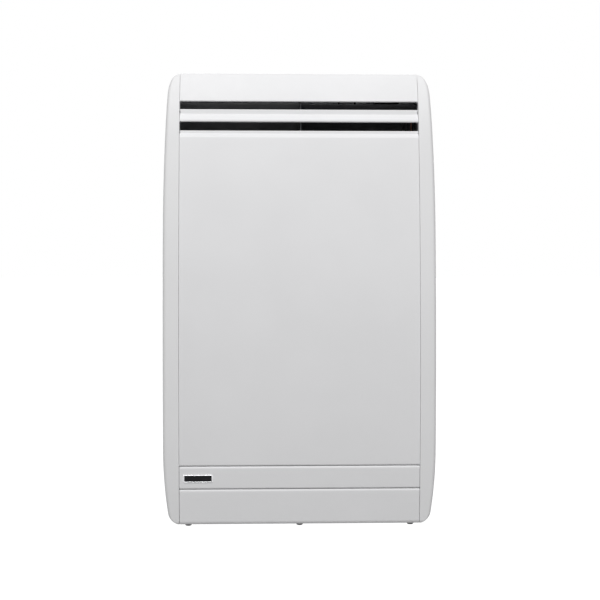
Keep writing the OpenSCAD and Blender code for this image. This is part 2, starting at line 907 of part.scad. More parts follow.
module badge_strip() {
    mid_z = (badge_bottom + badge_top) / 2;
    color(white)
    place()
    difference() {
        front_piece(
            [
                [face_d(badge_top, fold_depth), badge_top, 0],
                [face_d(badge_top), badge_top, strip_edge_r],
                [face_d(mid_z), mid_z, 0],
                [face_d(badge_bottom), badge_bottom, fold_r],
                [face_d(badge_bottom, fold_depth), badge_bottom, 0]
            ],
            badge_bottom + sheet_t / 2, badge_top - sheet_t / 2, [mid_z]
        );
        for (side = [-1, 1])
            at_face(plate_mid_x + side * plate_w / 3, plate_z, 3)
                cylinder(r = plate_pin_r + screw_clear / 2, h = 6);
    }
}

module lower_strip() {
    color(white)
    place()
    difference() {
        front_piece(
            [
                [face_d(lower_strip_h, fold_depth), lower_strip_h, 0],
                [face_d(lower_strip_h), lower_strip_h, strip_edge_r],
                [face_d(lower_strip_h / 2), lower_strip_h / 2, 0],
                [face_d(0), 0, bottom_edge_r],
                [cover_screw_d - strip_foot_w, 0, 0]
            ],
            bottom_edge_r + sheet_t / 2, lower_strip_h - sheet_t / 2, [lower_strip_h / 2]
        );
        for (side = [-1, 0, 1])
            at(side * cover_screw_x, cover_screw_d, -1)
                cylinder(r = cover_shank_d / 2 + screw_clear, h = sheet_t + 2);
    }
}

module badge_plate() {
    color("black")
    place()
    at_face(plate_mid_x, plate_z, 0) {
        translate([-plate_w / 2, -plate_h / 2, plate_seat]) cube([plate_w, plate_h, plate_t]);
        for (side = [-1, 1])
            translate([side * plate_w / 3, 0, -plate_pin_l])
                cylinder(r = plate_pin_r, h = plate_pin_l + 2 * plate_seat);
    }
}

module badge_rim() {
    hole_w = plate_w + 2 * rim_clear;
    hole_h = plate_h + 2 * rim_clear;
    color(steel)
    place()
    at_face(plate_mid_x, plate_z, 0)
        translate([0, 0, plate_seat])
            difference() {
                translate([-hole_w / 2 - rim_w, -hole_h / 2 - rim_w, 0])
                    cube([hole_w + 2 * rim_w, hole_h + 2 * rim_w, plate_t + 0.3]);
                translate([-hole_w / 2, -hole_h / 2, -1]) cube([hole_w, hole_h, plate_t + 3]);
            }
}

module cover_screws() {
    color([0.3, 0.3, 0.31])
    place()
    for (side = [-1, 0, 1])
        at(side * cover_screw_x, cover_screw_d, 0)
            difference() {
                union() {
                    translate([0, 0, -cover_head_h]) cylinder(d = cover_head_d, h = cover_head_h - 0.1);
                    translate([0, 0, -1]) cylinder(d = cover_shank_d, h = cover_shank_l);
                }
                translate([0, 0, -1.2 * cover_head_h])
                    cylinder(d = cover_shank_d, h = cover_head_h / 2 + 0.5, $fn = 6);
            }
}

module cover_screw_nuts() {
    color(steel)
    place()
    for (side = [-1, 0, 1])
        at(side * cover_screw_x, cover_screw_d, base_z + sheet_t + seat_gap)
            difference() {
                cylinder(d = cover_nut_d, h = cover_nut_h, $fn = 6);
                translate([0, 0, -1]) cylinder(d = cover_shank_d + 0.1, h = cover_nut_h + 2);
            }
}

module centre_support() {
    color(dark)
    place()
    across(support_x - support_t / 2, support_x + support_t / 2)
        polygon(slab_profile(panel_face_top - 8, body_h - support_top_gap, flange_d, frame_inset));
}

// A curved sheet that turns the rising air forward through the slots
module air_deflector(x0, x1, top_z) {
    rear_d = flange_d + deflector_gap;
    front_d = face_d(slot_top, fold_depth) - deflector_gap;
    across(x0, x1)
        polygon(folded([
            [rear_d, top_z - deflector_h, 0],
            [rear_d, top_z - deflector_bend_h, deflector_bend_r],
            [front_d, top_z, 0]
        ], shield_t));
    // Foot that meets the back panel between the side panels' flanges
    reach = side_x - frame_flange_w - deflector_gap;
    block(
        max(x0, -reach), min(x1, reach), flange_d, rear_d + shield_t / 2,
        top_z - deflector_h, top_z - deflector_h + shield_t
    );
}

module left_air_deflector() {
    color(dark)
    place()
    air_deflector(-side_x + seat_gap, support_x - support_t / 2 - seat_gap, deflector_top);
}

module right_air_deflector() {
    top_z = deflector_top - deflector_drop;
    color(dark)
    place()
    difference() {
        air_deflector(support_x + support_t / 2 + seat_gap, side_x - seat_gap, top_z);
        block(
            riser_x - 2 * riser_step + 1, side_x + 1, flange_d - 1, bulb_depth + 10,
            top_z - deflector_h - 1, top_z + 1
        );
    }
}

module front_heat_shield() {
    shield_d = face_d(shield_top, frame_inset) - front_shield_gap;
    half = side_x - seat_gap;
    color(steel)
    place() {
        block(-half, half, shield_d, shield_d + shield_t, front_shield_bottom, shield_top);
        both_sides()
            block(half - shield_t, half, shield_d, shield_d + shield_step, front_shield_bottom, shield_top);
    }
}

module rear_heat_shield() {
    shield_d = flange_d + shield_step;
    color(steel)
    place() {
        block(-shield_x, shield_x, shield_d, shield_d + shield_t, shield_bottom, shield_top);
        for (z = [shield_bottom, shield_top - shield_t])
            block(-shield_x, shield_x, flange_d, shield_d + shield_t / 2, z, z + shield_t);
    }
}

// The finned aluminium element, a hub with two tall webs and cross fins
module heating_element() {
    half = element_l / 2;
    bottom = element_z - element_h / 2;
    color([0.8, 0.8, 0.82])
    place() {
        rod_x(-half, half, element_d, element_z, element_hub_r);
        block(
            -half, half, element_d - element_web_t / 2, element_d + element_web_t / 2,
            bottom, bottom + element_h
        );
        for (i = [0:element_fins])
            let (z = bottom + i * (element_h - element_fin_t) / element_fins)
                block(
                    -half, half, element_d - element_t / 2, element_d + element_t / 2,
                    z, z + element_fin_t
                );
    }
}

module element_end_caps() {
    half = element_l / 2;
    end_x = half + element_end_l;
    color("linen")
    place()
    both_sides() {
        rod_x(half + seat_gap, end_x, element_d, element_z, element_end_d / 2);
        rod_x(end_x - 0.5, end_x + element_stud_l, element_d, element_z, element_stud_r);
    }
}

module element_brackets() {
    bottom = element_z - bracket_drop;
    top = element_z + bracket_rise;
    color(steel)
    place()
    both_sides() {
        difference() {
            block(bracket_x, bracket_x + sheet_t, flange_d, element_d + bracket_reach, bottom, top);
            rod_x(bracket_x - 1, bracket_x + 4, element_d, element_z, element_end_d / 2 + 0.1);
        }
        block(bracket_x, bracket_x + bracket_foot_w, flange_d, flange_d + sheet_t, bottom, top);
    }
}

module thermal_cutout() {
    back_d = flange_d + shield_step + shield_t + seat_gap;
    tag_d = back_d + cutout_h - 1;
    color("black")
    place() {
        rod_d(cutout_x, back_d, back_d + 2, cutout_z, cutout_rim_r);
        rod_d(cutout_x, back_d + 1, back_d + cutout_h, cutout_z, cutout_r);
        for (side = [-1, 1])
            let (x = cutout_x + side * cutout_r / 2)
                block(
                    x - 0.4, x + 0.4, tag_d, tag_d + cutout_tag_l + 1,
                    cutout_z - cutout_tag_l / 2, cutout_z + cutout_tag_l / 2
                );
    }
}

module terminal_block() {
    x0 = block_x - block_size[0] / 2;
    color("ivory")
    place()
    difference() {
        block(
            x0, x0 + block_size[0], flange_d, flange_d + block_size[1],
            block_z - block_size[2] / 2, block_z + block_size[2] / 2
        );
        for (i = [-1, 0, 1])
            rod_d(
                block_x + i * block_pitch, flange_d + block_size[1] - block_hole_depth,
                flange_d + block_size[1] + 1, block_z, block_hole_r
            );
    }
}

module earth_stud() {
    color("goldenrod")
    place() {
        rod_d(earth_x, wall_gap - 2, inner_d + earth_l, block_z, earth_r);
        at(earth_x, inner_d + seat_gap, block_z)
            rotate([90, 0, 0])
                cylinder(d = earth_nut_d, h = earth_nut_h, $fn = 6);
        rod_d(earth_x, wall_gap - 3, wall_gap - seat_gap, block_z, earth_r + 2);
    }
}

module cable_gland() {
    color(dark)
    place()
    at(gland_x, gland_depth, 0)
        difference() {
            union() {
                translate([0, 0, -gland_hex_h])
                    cylinder(d = gland_hex_d, h = gland_hex_h + base_z - seat_gap, $fn = 6);
                translate([0, 0, -gland_hex_h - gland_nose_h])
                    cylinder(r1 = gland_d / 2 - 1.5, r2 = gland_d / 2 + 1.5, h = gland_nose_h + 0.01);
                translate([0, 0, -1]) cylinder(d = gland_d, h = gland_thread_h + 1);
            }
            translate([0, 0, -gland_hex_h - gland_nose_h - 1])
                cylinder(d = cable_d, h = gland_hex_h + gland_nose_h + gland_thread_h + 2);
        }
}

module gland_nut() {
    color(dark)
    place()
    at(gland_x, gland_depth, base_z + sheet_t + seat_gap)
        difference() {
            cylinder(d = gland_hex_d, h = gland_nut_h, $fn = 6);
            translate([0, 0, -1]) cylinder(d = gland_d + 0.1, h = gland_nut_h + 2);
        }
}

module wiring_loom() {
    color("firebrick")
    place() {
        wire(power_wire, wire_r);
        wire(heat_wire, wire_r);
        wire(element_wire, wire_r);
    }
}

module capillary_tube() {
    color("peru") place() wire(capillary, capillary_r);
}

module sensing_bulb() {
    color("peru")
    place()
    rod_x(bulb_x - bulb_l / 2, bulb_x + bulb_l / 2, bulb_depth, bulb_z, bulb_d / 2);
}

module bulb_clips() {
    foot_z = base_z + sheet_t + seat_gap;
    half = clip_w / 2;
    color(steel)
    place()
    for (side = [-1, 1]) {
        x = bulb_x + side * bulb_l / 4;
        difference() {
            union() {
                rod_x(x - half, x + half, bulb_depth, bulb_z, bulb_d / 2 + clip_t);
                block(x - half, x + half, bulb_depth - 1, bulb_depth + 1, foot_z, bulb_z - bulb_d / 2);
                block(x - half, x + half, bulb_depth - 1, bulb_depth + clip_w + 1, foot_z, foot_z + clip_t);
            }
            rod_x(x - half - 1, x + half + 1, bulb_depth, bulb_z, bulb_d / 2 + 0.1);
        }
    }
}

module control_tray() {
    collar_top = body_h - sheet_t - seat_gap;
    out = tray_wall + tray_collar_w;
    out_d = tray_wall + tray_collar_l;
    color(dark)
    place()
    difference() {
        union() {
            block(
                tray_x - tray_wall, tray_x + tray_w + tray_wall,
                tray_back - tray_wall, tray_front + tray_wall, tray_floor - tray_floor_t, body_h
            );
            block(
                tray_x - out, tray_x + tray_w + out, tray_back - out_d, tray_front + out_d,
                collar_top - tray_collar_t, collar_top
            );
        }
        block(tray_x, tray_x + tray_w, tray_back, tray_front, tray_floor, body_h + 1);
        rod_x(
            tray_x - tray_wall - 1, tray_x + tray_w + tray_wall + 1,
            hinge_d, hinge_z, flap_pin_d / 2 + pin_clear
        );
        for (x = [power_x, heat_x])
            switch_block(x, seat_gap, tray_floor - tray_floor_t - 1, tray_floor + 1);
        at(knob_x, control_d, tray_floor - tray_floor_t - 1)
            cylinder(d = bush_d + 2 * seat_gap, h = tray_floor_t + 2);
    }
}

// The outline of a switch body round its rocker, grown by extra
module switch_block(x, extra, z0, z1) {
    half_w = rocker_w / 2 + rocker_clear + switch_wall + extra;
    half_l = rocker_l / 2 + rocker_end_clear + switch_wall + extra;
    block(x - half_w, x + half_w, control_d - half_l, control_d + half_l, z0, z1);
}

module switch_body(x) {
    half_w = rocker_w / 2 + rocker_clear;
    half_l = rocker_l / 2 + rocker_end_clear;
    difference() {
        switch_block(x, 0, tray_floor - switch_depth, tray_floor + switch_rim_h);
        block(
            x - half_w, x + half_w, control_d - half_l, control_d + half_l,
            tray_floor - switch_pocket_h, tray_floor + switch_rim_h + 1
        );
        rod_x(x - half_w - 1, x + half_w + 1, control_d, rocker_axis_z, rocker_pin_r + pin_clear);
    }
}

module power_switch_body() {
    color("black") place() switch_body(power_x);
}

module heat_switch_body() {
    color("black") place() switch_body(heat_x);
}

// A rocker, drawn level about its pivot and then tilted to its off position
module rocker(x) {
    half_l = rocker_l / 2;
    half_w = rocker_w / 2;
    foot = rocker_foot_w / 2;
    at(x, control_d, rocker_axis_z)
        rotate([-rocker_tilt, 0, 0])
            union() {
                translate([half_w, 0, 0])
                    rotate([90, 0, -90])
                        linear_extrude(rocker_w)
                            polygon([
                                [-half_l, -1], [-half_l, rocker_top], [0, rocker_dip], [half_l, rocker_top],
                                [half_l, -1], [foot, -rocker_foot], [-foot, -rocker_foot]
                            ]);
                translate([-half_w - rocker_pin_out, 0, 0])
                    rotate([0, 90, 0])
                        cylinder(r = rocker_pin_r, h = rocker_w + 2 * rocker_pin_out);
            }
}

module power_rocker() {
    color("black") place() rocker(power_x);
}

module heat_rocker() {
    color("black") place() rocker(heat_x);
}

module thermostat_body() {
    half = thermostat_size / 2;
    color([0.85, 0.85, 0.82])
    place()
    difference() {
        union() {
            block(
                knob_x - half, knob_x + half, control_d - half, control_d + half,
                thermostat_bottom, thermostat_top
            );
            at(knob_x, control_d, thermostat_top - 1) cylinder(d = bush_d, h = bush_h + 1);
        }
        at(knob_x, control_d, shaft_bottom - seat_gap)
            cylinder(r = shaft_d / 2 + pin_clear, h = tray_depth);
    }
}

module thermostat_shaft() {
    color(steel)
    place()
    at(knob_x, control_d, shaft_bottom) cylinder(d = shaft_d, h = shaft_top - shaft_bottom);
}

module thermostat_knob() {
    grip_l = knob_d - 3;
    color(white)
    place()
    at(knob_x, control_d, tray_floor + knob_gap)
        difference() {
            union() {
                cylinder(d = knob_d, h = knob_skirt_h);
                cylinder(d = knob_d - knob_grip_w, h = knob_skirt_h + 3);
                translate([-knob_grip_w / 2, -grip_l / 2, 0]) cube([knob_grip_w, grip_l, knob_h]);
            }
            translate([0, 0, -1]) cylinder(d = shaft_d, h = knob_h - 1);
        }
}

module control_flap() {
    x0 = tray_x + flap_clear;
    x1 = tray_x + tray_w - flap_clear;
    color(white)
    place()
    difference() {
        union() {
            block(x0, x1, hinge_d - barrel_web, tray_front - flap_clear, body_h - flap_t, body_h);
            for (x = [x0 + 0.2, x1 - 0.2 - barrel_l]) {
                rod_x(x, x + barrel_l, hinge_d, hinge_z, barrel_r);
                block(
                    x, x + barrel_l, hinge_d - barrel_web, hinge_d + 1.5 * barrel_web,
                    hinge_z, body_h - flap_t / 2
                );
            }
        }
        rod_x(x0 - 1, x1 + 1, hinge_d, hinge_z, flap_pin_d / 2);
        at((x0 + x1) / 2, tray_front + 4, body_h - flap_t - 1) cylinder(r = finger_r, h = flap_t + 2);
    }
}

module flap_hinge_pin() {
    color(steel)
    place()
    rod_x(tray_x - tray_wall + 0.3, tray_x + tray_w + tray_wall - 0.3, hinge_d, hinge_z, flap_pin_d / 2);
}

upper_wall_rail();
lower_wall_rail();
back_panel();
left_side_panel();
right_side_panel();
base_grille();
left_trim();
right_trim();
top_cap();
louvre_slat();
front_panel();
badge_strip();
lower_strip();
badge_plate();
badge_rim();
cover_screws();
cover_screw_nuts();
panel_screws();
trim_screws();
hanging_hooks();
wall_buffers();
centre_support();
left_air_deflector();
right_air_deflector();
front_heat_shield();
rear_heat_shield();
heating_element();
element_end_caps();
element_brackets();
thermal_cutout();
terminal_block();
earth_stud();
cable_gland();
gland_nut();
wiring_loom();
control_tray();
thermostat_body();
capillary_tube();
sensing_bulb();
bulb_clips();
power_switch_body();
heat_switch_body();
control_flap();
flap_hinge_pin();
thermostat_knob();
thermostat_shaft();
power_rocker();
heat_rocker();
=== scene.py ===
import json
import math

import bmesh
import bpy
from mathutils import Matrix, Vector


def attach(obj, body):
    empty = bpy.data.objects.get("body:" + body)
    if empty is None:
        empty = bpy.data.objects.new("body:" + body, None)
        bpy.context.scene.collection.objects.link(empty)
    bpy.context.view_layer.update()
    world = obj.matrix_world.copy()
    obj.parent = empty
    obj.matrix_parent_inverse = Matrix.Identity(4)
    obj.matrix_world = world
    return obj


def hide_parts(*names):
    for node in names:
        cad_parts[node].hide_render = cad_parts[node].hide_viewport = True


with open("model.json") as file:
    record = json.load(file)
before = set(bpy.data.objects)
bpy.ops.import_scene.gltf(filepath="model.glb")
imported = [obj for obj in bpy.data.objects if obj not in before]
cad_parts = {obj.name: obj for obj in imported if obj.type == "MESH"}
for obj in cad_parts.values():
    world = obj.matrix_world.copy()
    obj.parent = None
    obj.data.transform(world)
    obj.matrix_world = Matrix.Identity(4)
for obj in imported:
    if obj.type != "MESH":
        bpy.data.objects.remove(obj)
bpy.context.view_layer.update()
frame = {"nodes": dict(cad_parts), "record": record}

# Sizes in millimetres: height above the casing's bottom edge, depth out from the wall
MM = 0.001
ORIGIN_Z = 330
BODY_W, BODY_H, BODY_D = 400, 666, 125
APEX_Z, CROWN_H, CROWN_R, CROWN_FALL = 210, 90, 358, 25

# The front pieces
SHEET_T = 1
SLOT_TOP, SLAT_TOP, SLAT_BOTTOM, PANEL_TOP = 622.7, 610.9, 591.9, 579
PANEL_BOTTOM, BADGE_TOP, BADGE_BOTTOM, LOWER_TOP = 87.3, 86.8, 53.3, 52.8
SLAT_FACE_TOP, PANEL_FACE_TOP = 596.3, 569.3
SLAT_BAND, PANEL_BAND, STEP_BACK = 7.4, 4.8, 5
HEM, HEM_RISE, LOWER_FLANGE_D = 15.7, 5, 88.3
FOLD_R, STRIP_EDGE_R, SIDE_R, SLOT_FOLD_R, STEP_R = 2.2, 3.6, 0.9, 1.3, 1.2
TOP_EDGE_R, BOTTOM_EDGE_R = 10, 5
FLANGE_D, CAP_FLANGE, CAP_SIDE_DROP, CAP_HOLE_GAP = 14.1, 22, 4, 1.9

# The trims, with the slow draw-in and the corner at each end of their outer edge
TRIM_X, FRONT_X, TRIM_OUT = 176.6, 176.28, BODY_W / 2
TRIM_FULL_D, TRIM_PROUD, TRIM_BACK, TRIM_LIP, TRIM_WALL = 126.2, 1.14, 5, 14, 2.4
TRIM_EDGE_R, TRIM_SEAM_R = 6, 0.8
BOTTOM_TAPER_H, BOTTOM_TAPER_R, BOTTOM_CORNER = 110, 650, 20
TOP_TAPER_H, TOP_TAPER_R, TOP_CORNER_W, TOP_CORNER_H = 236, 4000, 17.3, 38
RIB_X, RIB_BACK, RIB_T, RIB_CORNER_R = 181.1, 13.8, 2, 5
RIB_SHARES = (0.09, 0.33, 0.58, 0.8)

# The plate, its rim and the cover screws
PLATE_X, PLATE_Z, PLATE_W, PLATE_H, PLATE_T = -148.9, 69.1, 40, 8.8, 0.9
RIM_W, RIM_T = 0.7, 1.25
SCREW_X, SCREW_D = 163.8, 106.3
SCREW_HEAD_R, SCREW_HEAD_H, SCREW_GAP, SCREW_ROUNDING = 5, 2.9, 0.1, 2
RECESS_H, SHANK_R, SHANK_L = 1.6, 2.5, 11

# The air deflectors, on both sides of the centre support
DEFLECTOR_X, SUPPORT_X0, SUPPORT_X1 = 179.2, 1.4, 3.6
LEFT_DEFLECTOR_TOP, RIGHT_DEFLECTOR_TOP = 622, 620.5
DEFLECTOR_H, DEFLECTOR_T, BEND_R, BEND_H, BEND_STEPS = 74, 0.6, 38, 20, 14

# The controls
TRAY_X, TRAY_W, TRAY_BACK, TRAY_FRONT, TRAY_FLOOR = 46, 114, 20.6, 63.0, 646
CONTROL_D = 43
KNOB_X, POWER_X, HEAT_X = 135, 62, 86
FLAP_T, FLAP_GAP, FLAP_REAR_GAP, FLAP_MARGIN = 2, 0.4, 2.8, 12
THUMB_R, THUMB_OUT = 9, 4
BARREL_R, BARREL_L, BARREL_INSET = 2.1, 12, 0.2
KNOB_SIDES, KNOB_R, KNOB_GAP, SKIRT_H, COLLAR_H = 96, 14, 1.3, 3.6, 3
GRIP_W, GRIP_L, GRIP_H = 6, 25, 10.7
POINTER_L, POINTER_W = 9, 0.9
DIAL_R, DIGIT_SIZE, LABEL_SIZE, FIGURE_T = 17.2, 4.2, 2.9, 0.12
ROCKER_W, ROCKER_L, ROCKER_H, ROCKER_TILT = 11, 17.6, 7.2, 10
ROCKER_PIVOT_Z = TRAY_FLOOR - 0.8

# The set: the floor's height in metres, its grey, its glow and the level of the light all round
FLOOR_Z, FLOOR_GREY, FLOOR_GLOW, WORLD_LEVEL = -0.48, 0.45, 0.85, 0.28

crown_z = BODY_H - CROWN_H
face_r = ((crown_z - APEX_Z) ** 2 + CROWN_FALL**2) / (2 * CROWN_FALL)
long_centre = BODY_D - face_r
crown_turn = math.asin((crown_z - APEX_Z) / face_r)
crown_centre_d = long_centre + (face_r - CROWN_R) * math.cos(crown_turn)
crown_centre_z = APEX_Z + (face_r - CROWN_R) * math.sin(crown_turn)


def face_depth(z):
    """Depth of the bowed front at height z"""
    if z < crown_z:
        return long_centre + math.sqrt(face_r**2 - (z - APEX_Z) ** 2)
    return crown_centre_d + math.sqrt(CROWN_R**2 - (z - crown_centre_z) ** 2)


def face_rows(top, bottom, pitch=9):
    """Points down the bowed front as (depth, height)"""
    count = max(1, math.ceil((top - bottom) / pitch))
    heights = [top + (bottom - top) * i / count for i in range(count + 1)]
    return [(face_depth(z), z) for z in heights]


def up(z):
    """The height in the frame, in metres, of a height in millimetres"""
    return (z - ORIGIN_Z) * MM


def spot(x, d, z):
    """A place in metres from x, depth and height in millimetres"""
    return (x * MM, -d * MM, up(z))


# Edit-mode helpers


def open_piece(name, size=(1, 1, 1)):
    """Names the new primitive, gives it its size and place in its mesh and opens it for editing"""
    piece = bpy.context.object
    piece.name = name
    piece.data.name = name
    piece.scale = size
    bpy.ops.object.transform_apply(location=True, rotation=True, scale=True)
    bpy.ops.object.mode_set(mode="EDIT")
    return piece


def open_box(name, place, size, turn=0.0):
    """A box of a size in millimetres, turned about X and opened for editing"""
    clear_selection()
    bpy.ops.mesh.primitive_cube_add(size=1, location=place, rotation=(turn, 0, 0))
    return open_piece(name, [length * MM for length in size])


def clear_selection():
    bpy.ops.object.select_all(action="DESELECT")


def middle(part):
    """The mean place of an edge's or a face's vertices"""
    return sum((v.co for v in part.verts), Vector()) / len(part.verts)


def pick(kind, test):
    """Selects the vertices, edges or faces that pass the test, and says how many"""
    bpy.ops.mesh.select_mode(type=kind)
    bpy.ops.mesh.select_all(action="DESELECT")
    mesh = bmesh.from_edit_mesh(bpy.context.edit_object.data)
    parts = {"VERT": mesh.verts, "EDGE": mesh.edges, "FACE": mesh.faces}[kind]
    chosen = [part for part in parts if test(part)]
    for part in chosen:
        part.select_set(True)
    if kind == "VERT":
        mesh.select_flush(True)
    bmesh.update_edit_mesh(bpy.context.edit_object.data)
    return len(chosen)


def keep(mesh, vertices, test):
    """Leaves selected only those of the vertices that pass the test"""
    for v in mesh.verts:
        v.select_set(False)
    for v in vertices:
        v.select_set(test(v))
    mesh.select_flush(False)
    bmesh.update_edit_mesh(bpy.context.edit_object.data)


def shift(x=0, d=0, z=0):
    """Moves what is selected, in millimetres"""
    bpy.ops.transform.translate(value=(x * MM, -d * MM, z * MM))


def draw_out(x=0, d=0, z=0):
    """Extrudes what is selected, in millimetres"""
    bpy.ops.mesh.extrude_region_move(
        TRANSFORM_OT_translate={"value": (x * MM, -d * MM, z * MM)}
    )


def cut(place, across):
    """Cuts the whole piece by a plane through a place, square to a direction"""
    bpy.ops.mesh.select_all(action="SELECT")
    bpy.ops.mesh.bisect(plane_co=place, plane_no=across)


def merge(gap=0.01):
    """Joins the vertices that lie within a gap in millimetres"""
    bpy.ops.mesh.select_all(action="SELECT")
    bpy.ops.mesh.remove_doubles(threshold=gap * MM)


def round_edges(radius, segments, test):
    """Bevels the edges that pass the test"""
    if pick("EDGE", test):
        bpy.ops.mesh.bevel(
            offset=radius * MM, segments=segments, profile=0.5, affect="EDGES",
            clamp_overlap=True, loop_slide=False,
        )


def bend_of(edge):
    """Angle between the two faces of an edge, in degrees"""
    return math.degrees(edge.calc_face_angle(0))


def face_outwards(toward):
    """Turns an open shell so that its faces nearest to a direction point along it"""
    bpy.ops.mesh.select_mode(type="FACE")
    bpy.ops.mesh.select_all(action="SELECT")
    bpy.ops.mesh.normals_make_consistent(inside=False)
    mesh = bmesh.from_edit_mesh(bpy.context.edit_object.data)
    lean = sum(f.calc_area() * f.normal.dot(Vector(toward)) for f in mesh.faces)
    if lean < 0:
        bpy.ops.mesh.flip_normals()


def use(piece, kind, **settings):
    """Adds a modifier with these settings and applies it"""
    modifier = piece.modifiers.new(kind.title(), kind)
    for key, value in settings.items():
        setattr(modifier, key, value)
    bpy.ops.object.modifier_apply(modifier=modifier.name)


def smooth(piece, angle=35, weighted=True):
    """Shades smooth whatever bends by less than the angle"""
    bpy.ops.object.shade_smooth_by_angle(angle=math.radians(angle))
    if weighted:
        use(piece, "WEIGHTED_NORMAL", keep_sharp=True, weight=80)


def close_piece(weighted=True):
    """Leaves edit mode and smooths what isn't an edge"""
    bpy.ops.object.mode_set(mode="OBJECT")
    piece = bpy.context.object
    smooth(piece, weighted=weighted)
    return piece


def fit(piece, body, slot, *nodes, material=None):
    """Gives a finished piece its body and its material, the one given or else the finish for its
    slot, and hides the nodes it stands for
    """
    piece.data.materials.clear()
    piece.data.materials.append(material or FINISHES[slot])
    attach(piece, body)
    if nodes:
        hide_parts(*nodes)


def draw_sheet(name, x0, x1, path):
    """A sheet from x0 to x1, drawn out along a path of (depth, height)"""
    clear_selection()
    (d0, z0), (d1, z1) = path[:2]
    bpy.ops.mesh.primitive_plane_add(
        size=1,
        location=spot((x0 + x1) / 2, (d0 + d1) / 2, (z0 + z1) / 2),
        rotation=(math.atan2(z1 - z0, d0 - d1), 0, 0),
    )
    open_piece(name, ((x1 - x0) * MM, math.hypot(d1 - d0, z1 - z0) * MM, 1))
    end = Vector(spot(0, d1, z1))
    pick("VERT", lambda v: (v.co - Vector((v.co.x, end.y, end.z))).length < 1e-5)
    for (da, za), (db, zb) in zip(path[1:], path[2:]):
        draw_out(d=db - da, z=zb - za)


def turn_in_sides(depth, deeper=0, deeper_below=0):
    """Draws the returns back from both side edges of the face, deeper below a height"""
    for side in (-1, 1):
        pick("EDGE", lambda e: at_side(e, side) and on_face(e))
        draw_out(d=-depth)
        if deeper:
            mesh = bmesh.from_edit_mesh(bpy.context.edit_object.data)
            drawn = [v for v in mesh.verts if v.select]
            keep(mesh, drawn, lambda v: v.co.z <= up(deeper_below) + 1e-5)
            shift(d=-deeper)


def at_side(edge, side):
    """True for an edge on the left (-1) or right (1) side of a front sheet"""
    return all(v.co.x * side > (FRONT_X - 0.01) * MM for v in edge.verts)


def on_face(edge):
    """True for an edge of the side outline that is steeper than a hem"""
    a, b = (v.co for v in edge.verts)
    return abs(a.z - b.z) > 0.5 * abs(a.y - b.y)


# Finishes


class Finish:
    """A node material that reads the piece's own Object coordinates"""

    def __init__(self, name, colour, roughness, metallic=0.0):
        self.colour = colour
        self.material = bpy.data.materials.new(name)
        self.material.use_nodes = True
        self.material.diffuse_color = (*colour, 1)
        self.nodes = self.material.node_tree.nodes
        self.links = self.material.node_tree.links
        self.shader = self.nodes["Principled BSDF"]
        self.shader.inputs["Base Color"].default_value = (*colour, 1)
        self.shader.inputs["Roughness"].default_value = roughness
        self.shader.inputs["Metallic"].default_value = metallic
        self.place = self.nodes.new("ShaderNodeTexCoord").outputs["Object"]
        self.last_bump = None

    def stretched(self, x, y, z):
        """Object coordinates drawn out along an axis, for brushed or drawn metal"""
        mapping = self.nodes.new("ShaderNodeMapping")
        mapping.inputs["Scale"].default_value = (x, y, z)
        self.links.new(self.place, mapping.inputs["Vector"])
        return mapping.outputs["Vector"]

    def noise(self, scale, detail=3, rough=0.5, place=None):
        node = self.nodes.new("ShaderNodeTexNoise")
        node.inputs["Scale"].default_value = scale
        node.inputs["Detail"].default_value = detail
        node.inputs["Roughness"].default_value = rough
        self.links.new(place or self.place, node.inputs["Vector"])
        return node.outputs["Fac"]

    def cells(self, scale, output="Color"):
        node = self.nodes.new("ShaderNodeTexVoronoi")
        node.inputs["Scale"].default_value = scale
        self.links.new(self.place, node.inputs["Vector"])
        return node.outputs[output]

    def colours(self, pattern, low, high, start=0.35, end=0.65):
        """Takes the colour from low to high as a pattern goes from start to end"""
        node = self.nodes.new("ShaderNodeValToRGB")
        stops = zip(node.color_ramp.elements, (start, end), (low, high))
        for stop, position, colour in stops:
            stop.position = position
            stop.color = (*colour, 1)
        self.links.new(pattern, node.inputs["Fac"])
        self.links.new(node.outputs["Color"], self.shader.inputs["Base Color"])

    def shades(self, pattern, low, high):
        """Takes the colour from a darker to a lighter shade of itself"""
        darker, lighter = ([min(1, c * factor) for c in self.colour] for factor in (low, high))
        self.colours(pattern, darker, lighter)

    def roughness(self, pattern, low, high, start=0.3, end=0.7):
        """Takes the roughness from low to high as a pattern goes from start to end"""
        node = self.nodes.new("ShaderNodeMapRange")
        node.inputs["From Min"].default_value = start
        node.inputs["From Max"].default_value = end
        node.inputs["To Min"].default_value = low
        node.inputs["To Max"].default_value = high
        self.links.new(pattern, node.inputs["Value"])
        self.links.new(node.outputs["Result"], self.shader.inputs["Roughness"])

    def gloss(self, level):
        """How strongly the surface mirrors"""
        self.shader.inputs["Specular IOR Level"].default_value = level

    def bump(self, height, strength, distance_mm):
        node = self.nodes.new("ShaderNodeBump")
        node.inputs["Strength"].default_value = strength
        node.inputs["Distance"].default_value = distance_mm * MM
        self.links.new(height, node.inputs["Height"])
        if self.last_bump:
            self.links.new(self.last_bump, node.inputs["Normal"])
        self.last_bump = node.outputs["Normal"]
        self.links.new(self.last_bump, self.shader.inputs["Normal"])


def white_powder_coat():
    coat = Finish("white_powder_coat", (0.78, 0.78, 0.789), 0.49)
    coat.gloss(0.3)
    coat.shades(coat.noise(9, 2), 0.988, 1.012)
    coat.roughness(coat.noise(140, 3), 0.45, 0.53)
    coat.bump(coat.noise(650, 2, 0.4), 0.16, 0.05)
    coat.bump(coat.noise(2600, 2), 0.08, 0.02)
    return coat.material


def white_moulding():
    plastic = Finish("white_moulding", (0.78, 0.78, 0.786), 0.46)
    plastic.gloss(0.3)
    plastic.shades(plastic.noise(6, 2), 0.985, 1.01)
    plastic.roughness(plastic.noise(90, 2), 0.46, 0.54)
    plastic.bump(plastic.noise(1900, 3, 0.6), 0.14, 0.03)
    return plastic.material


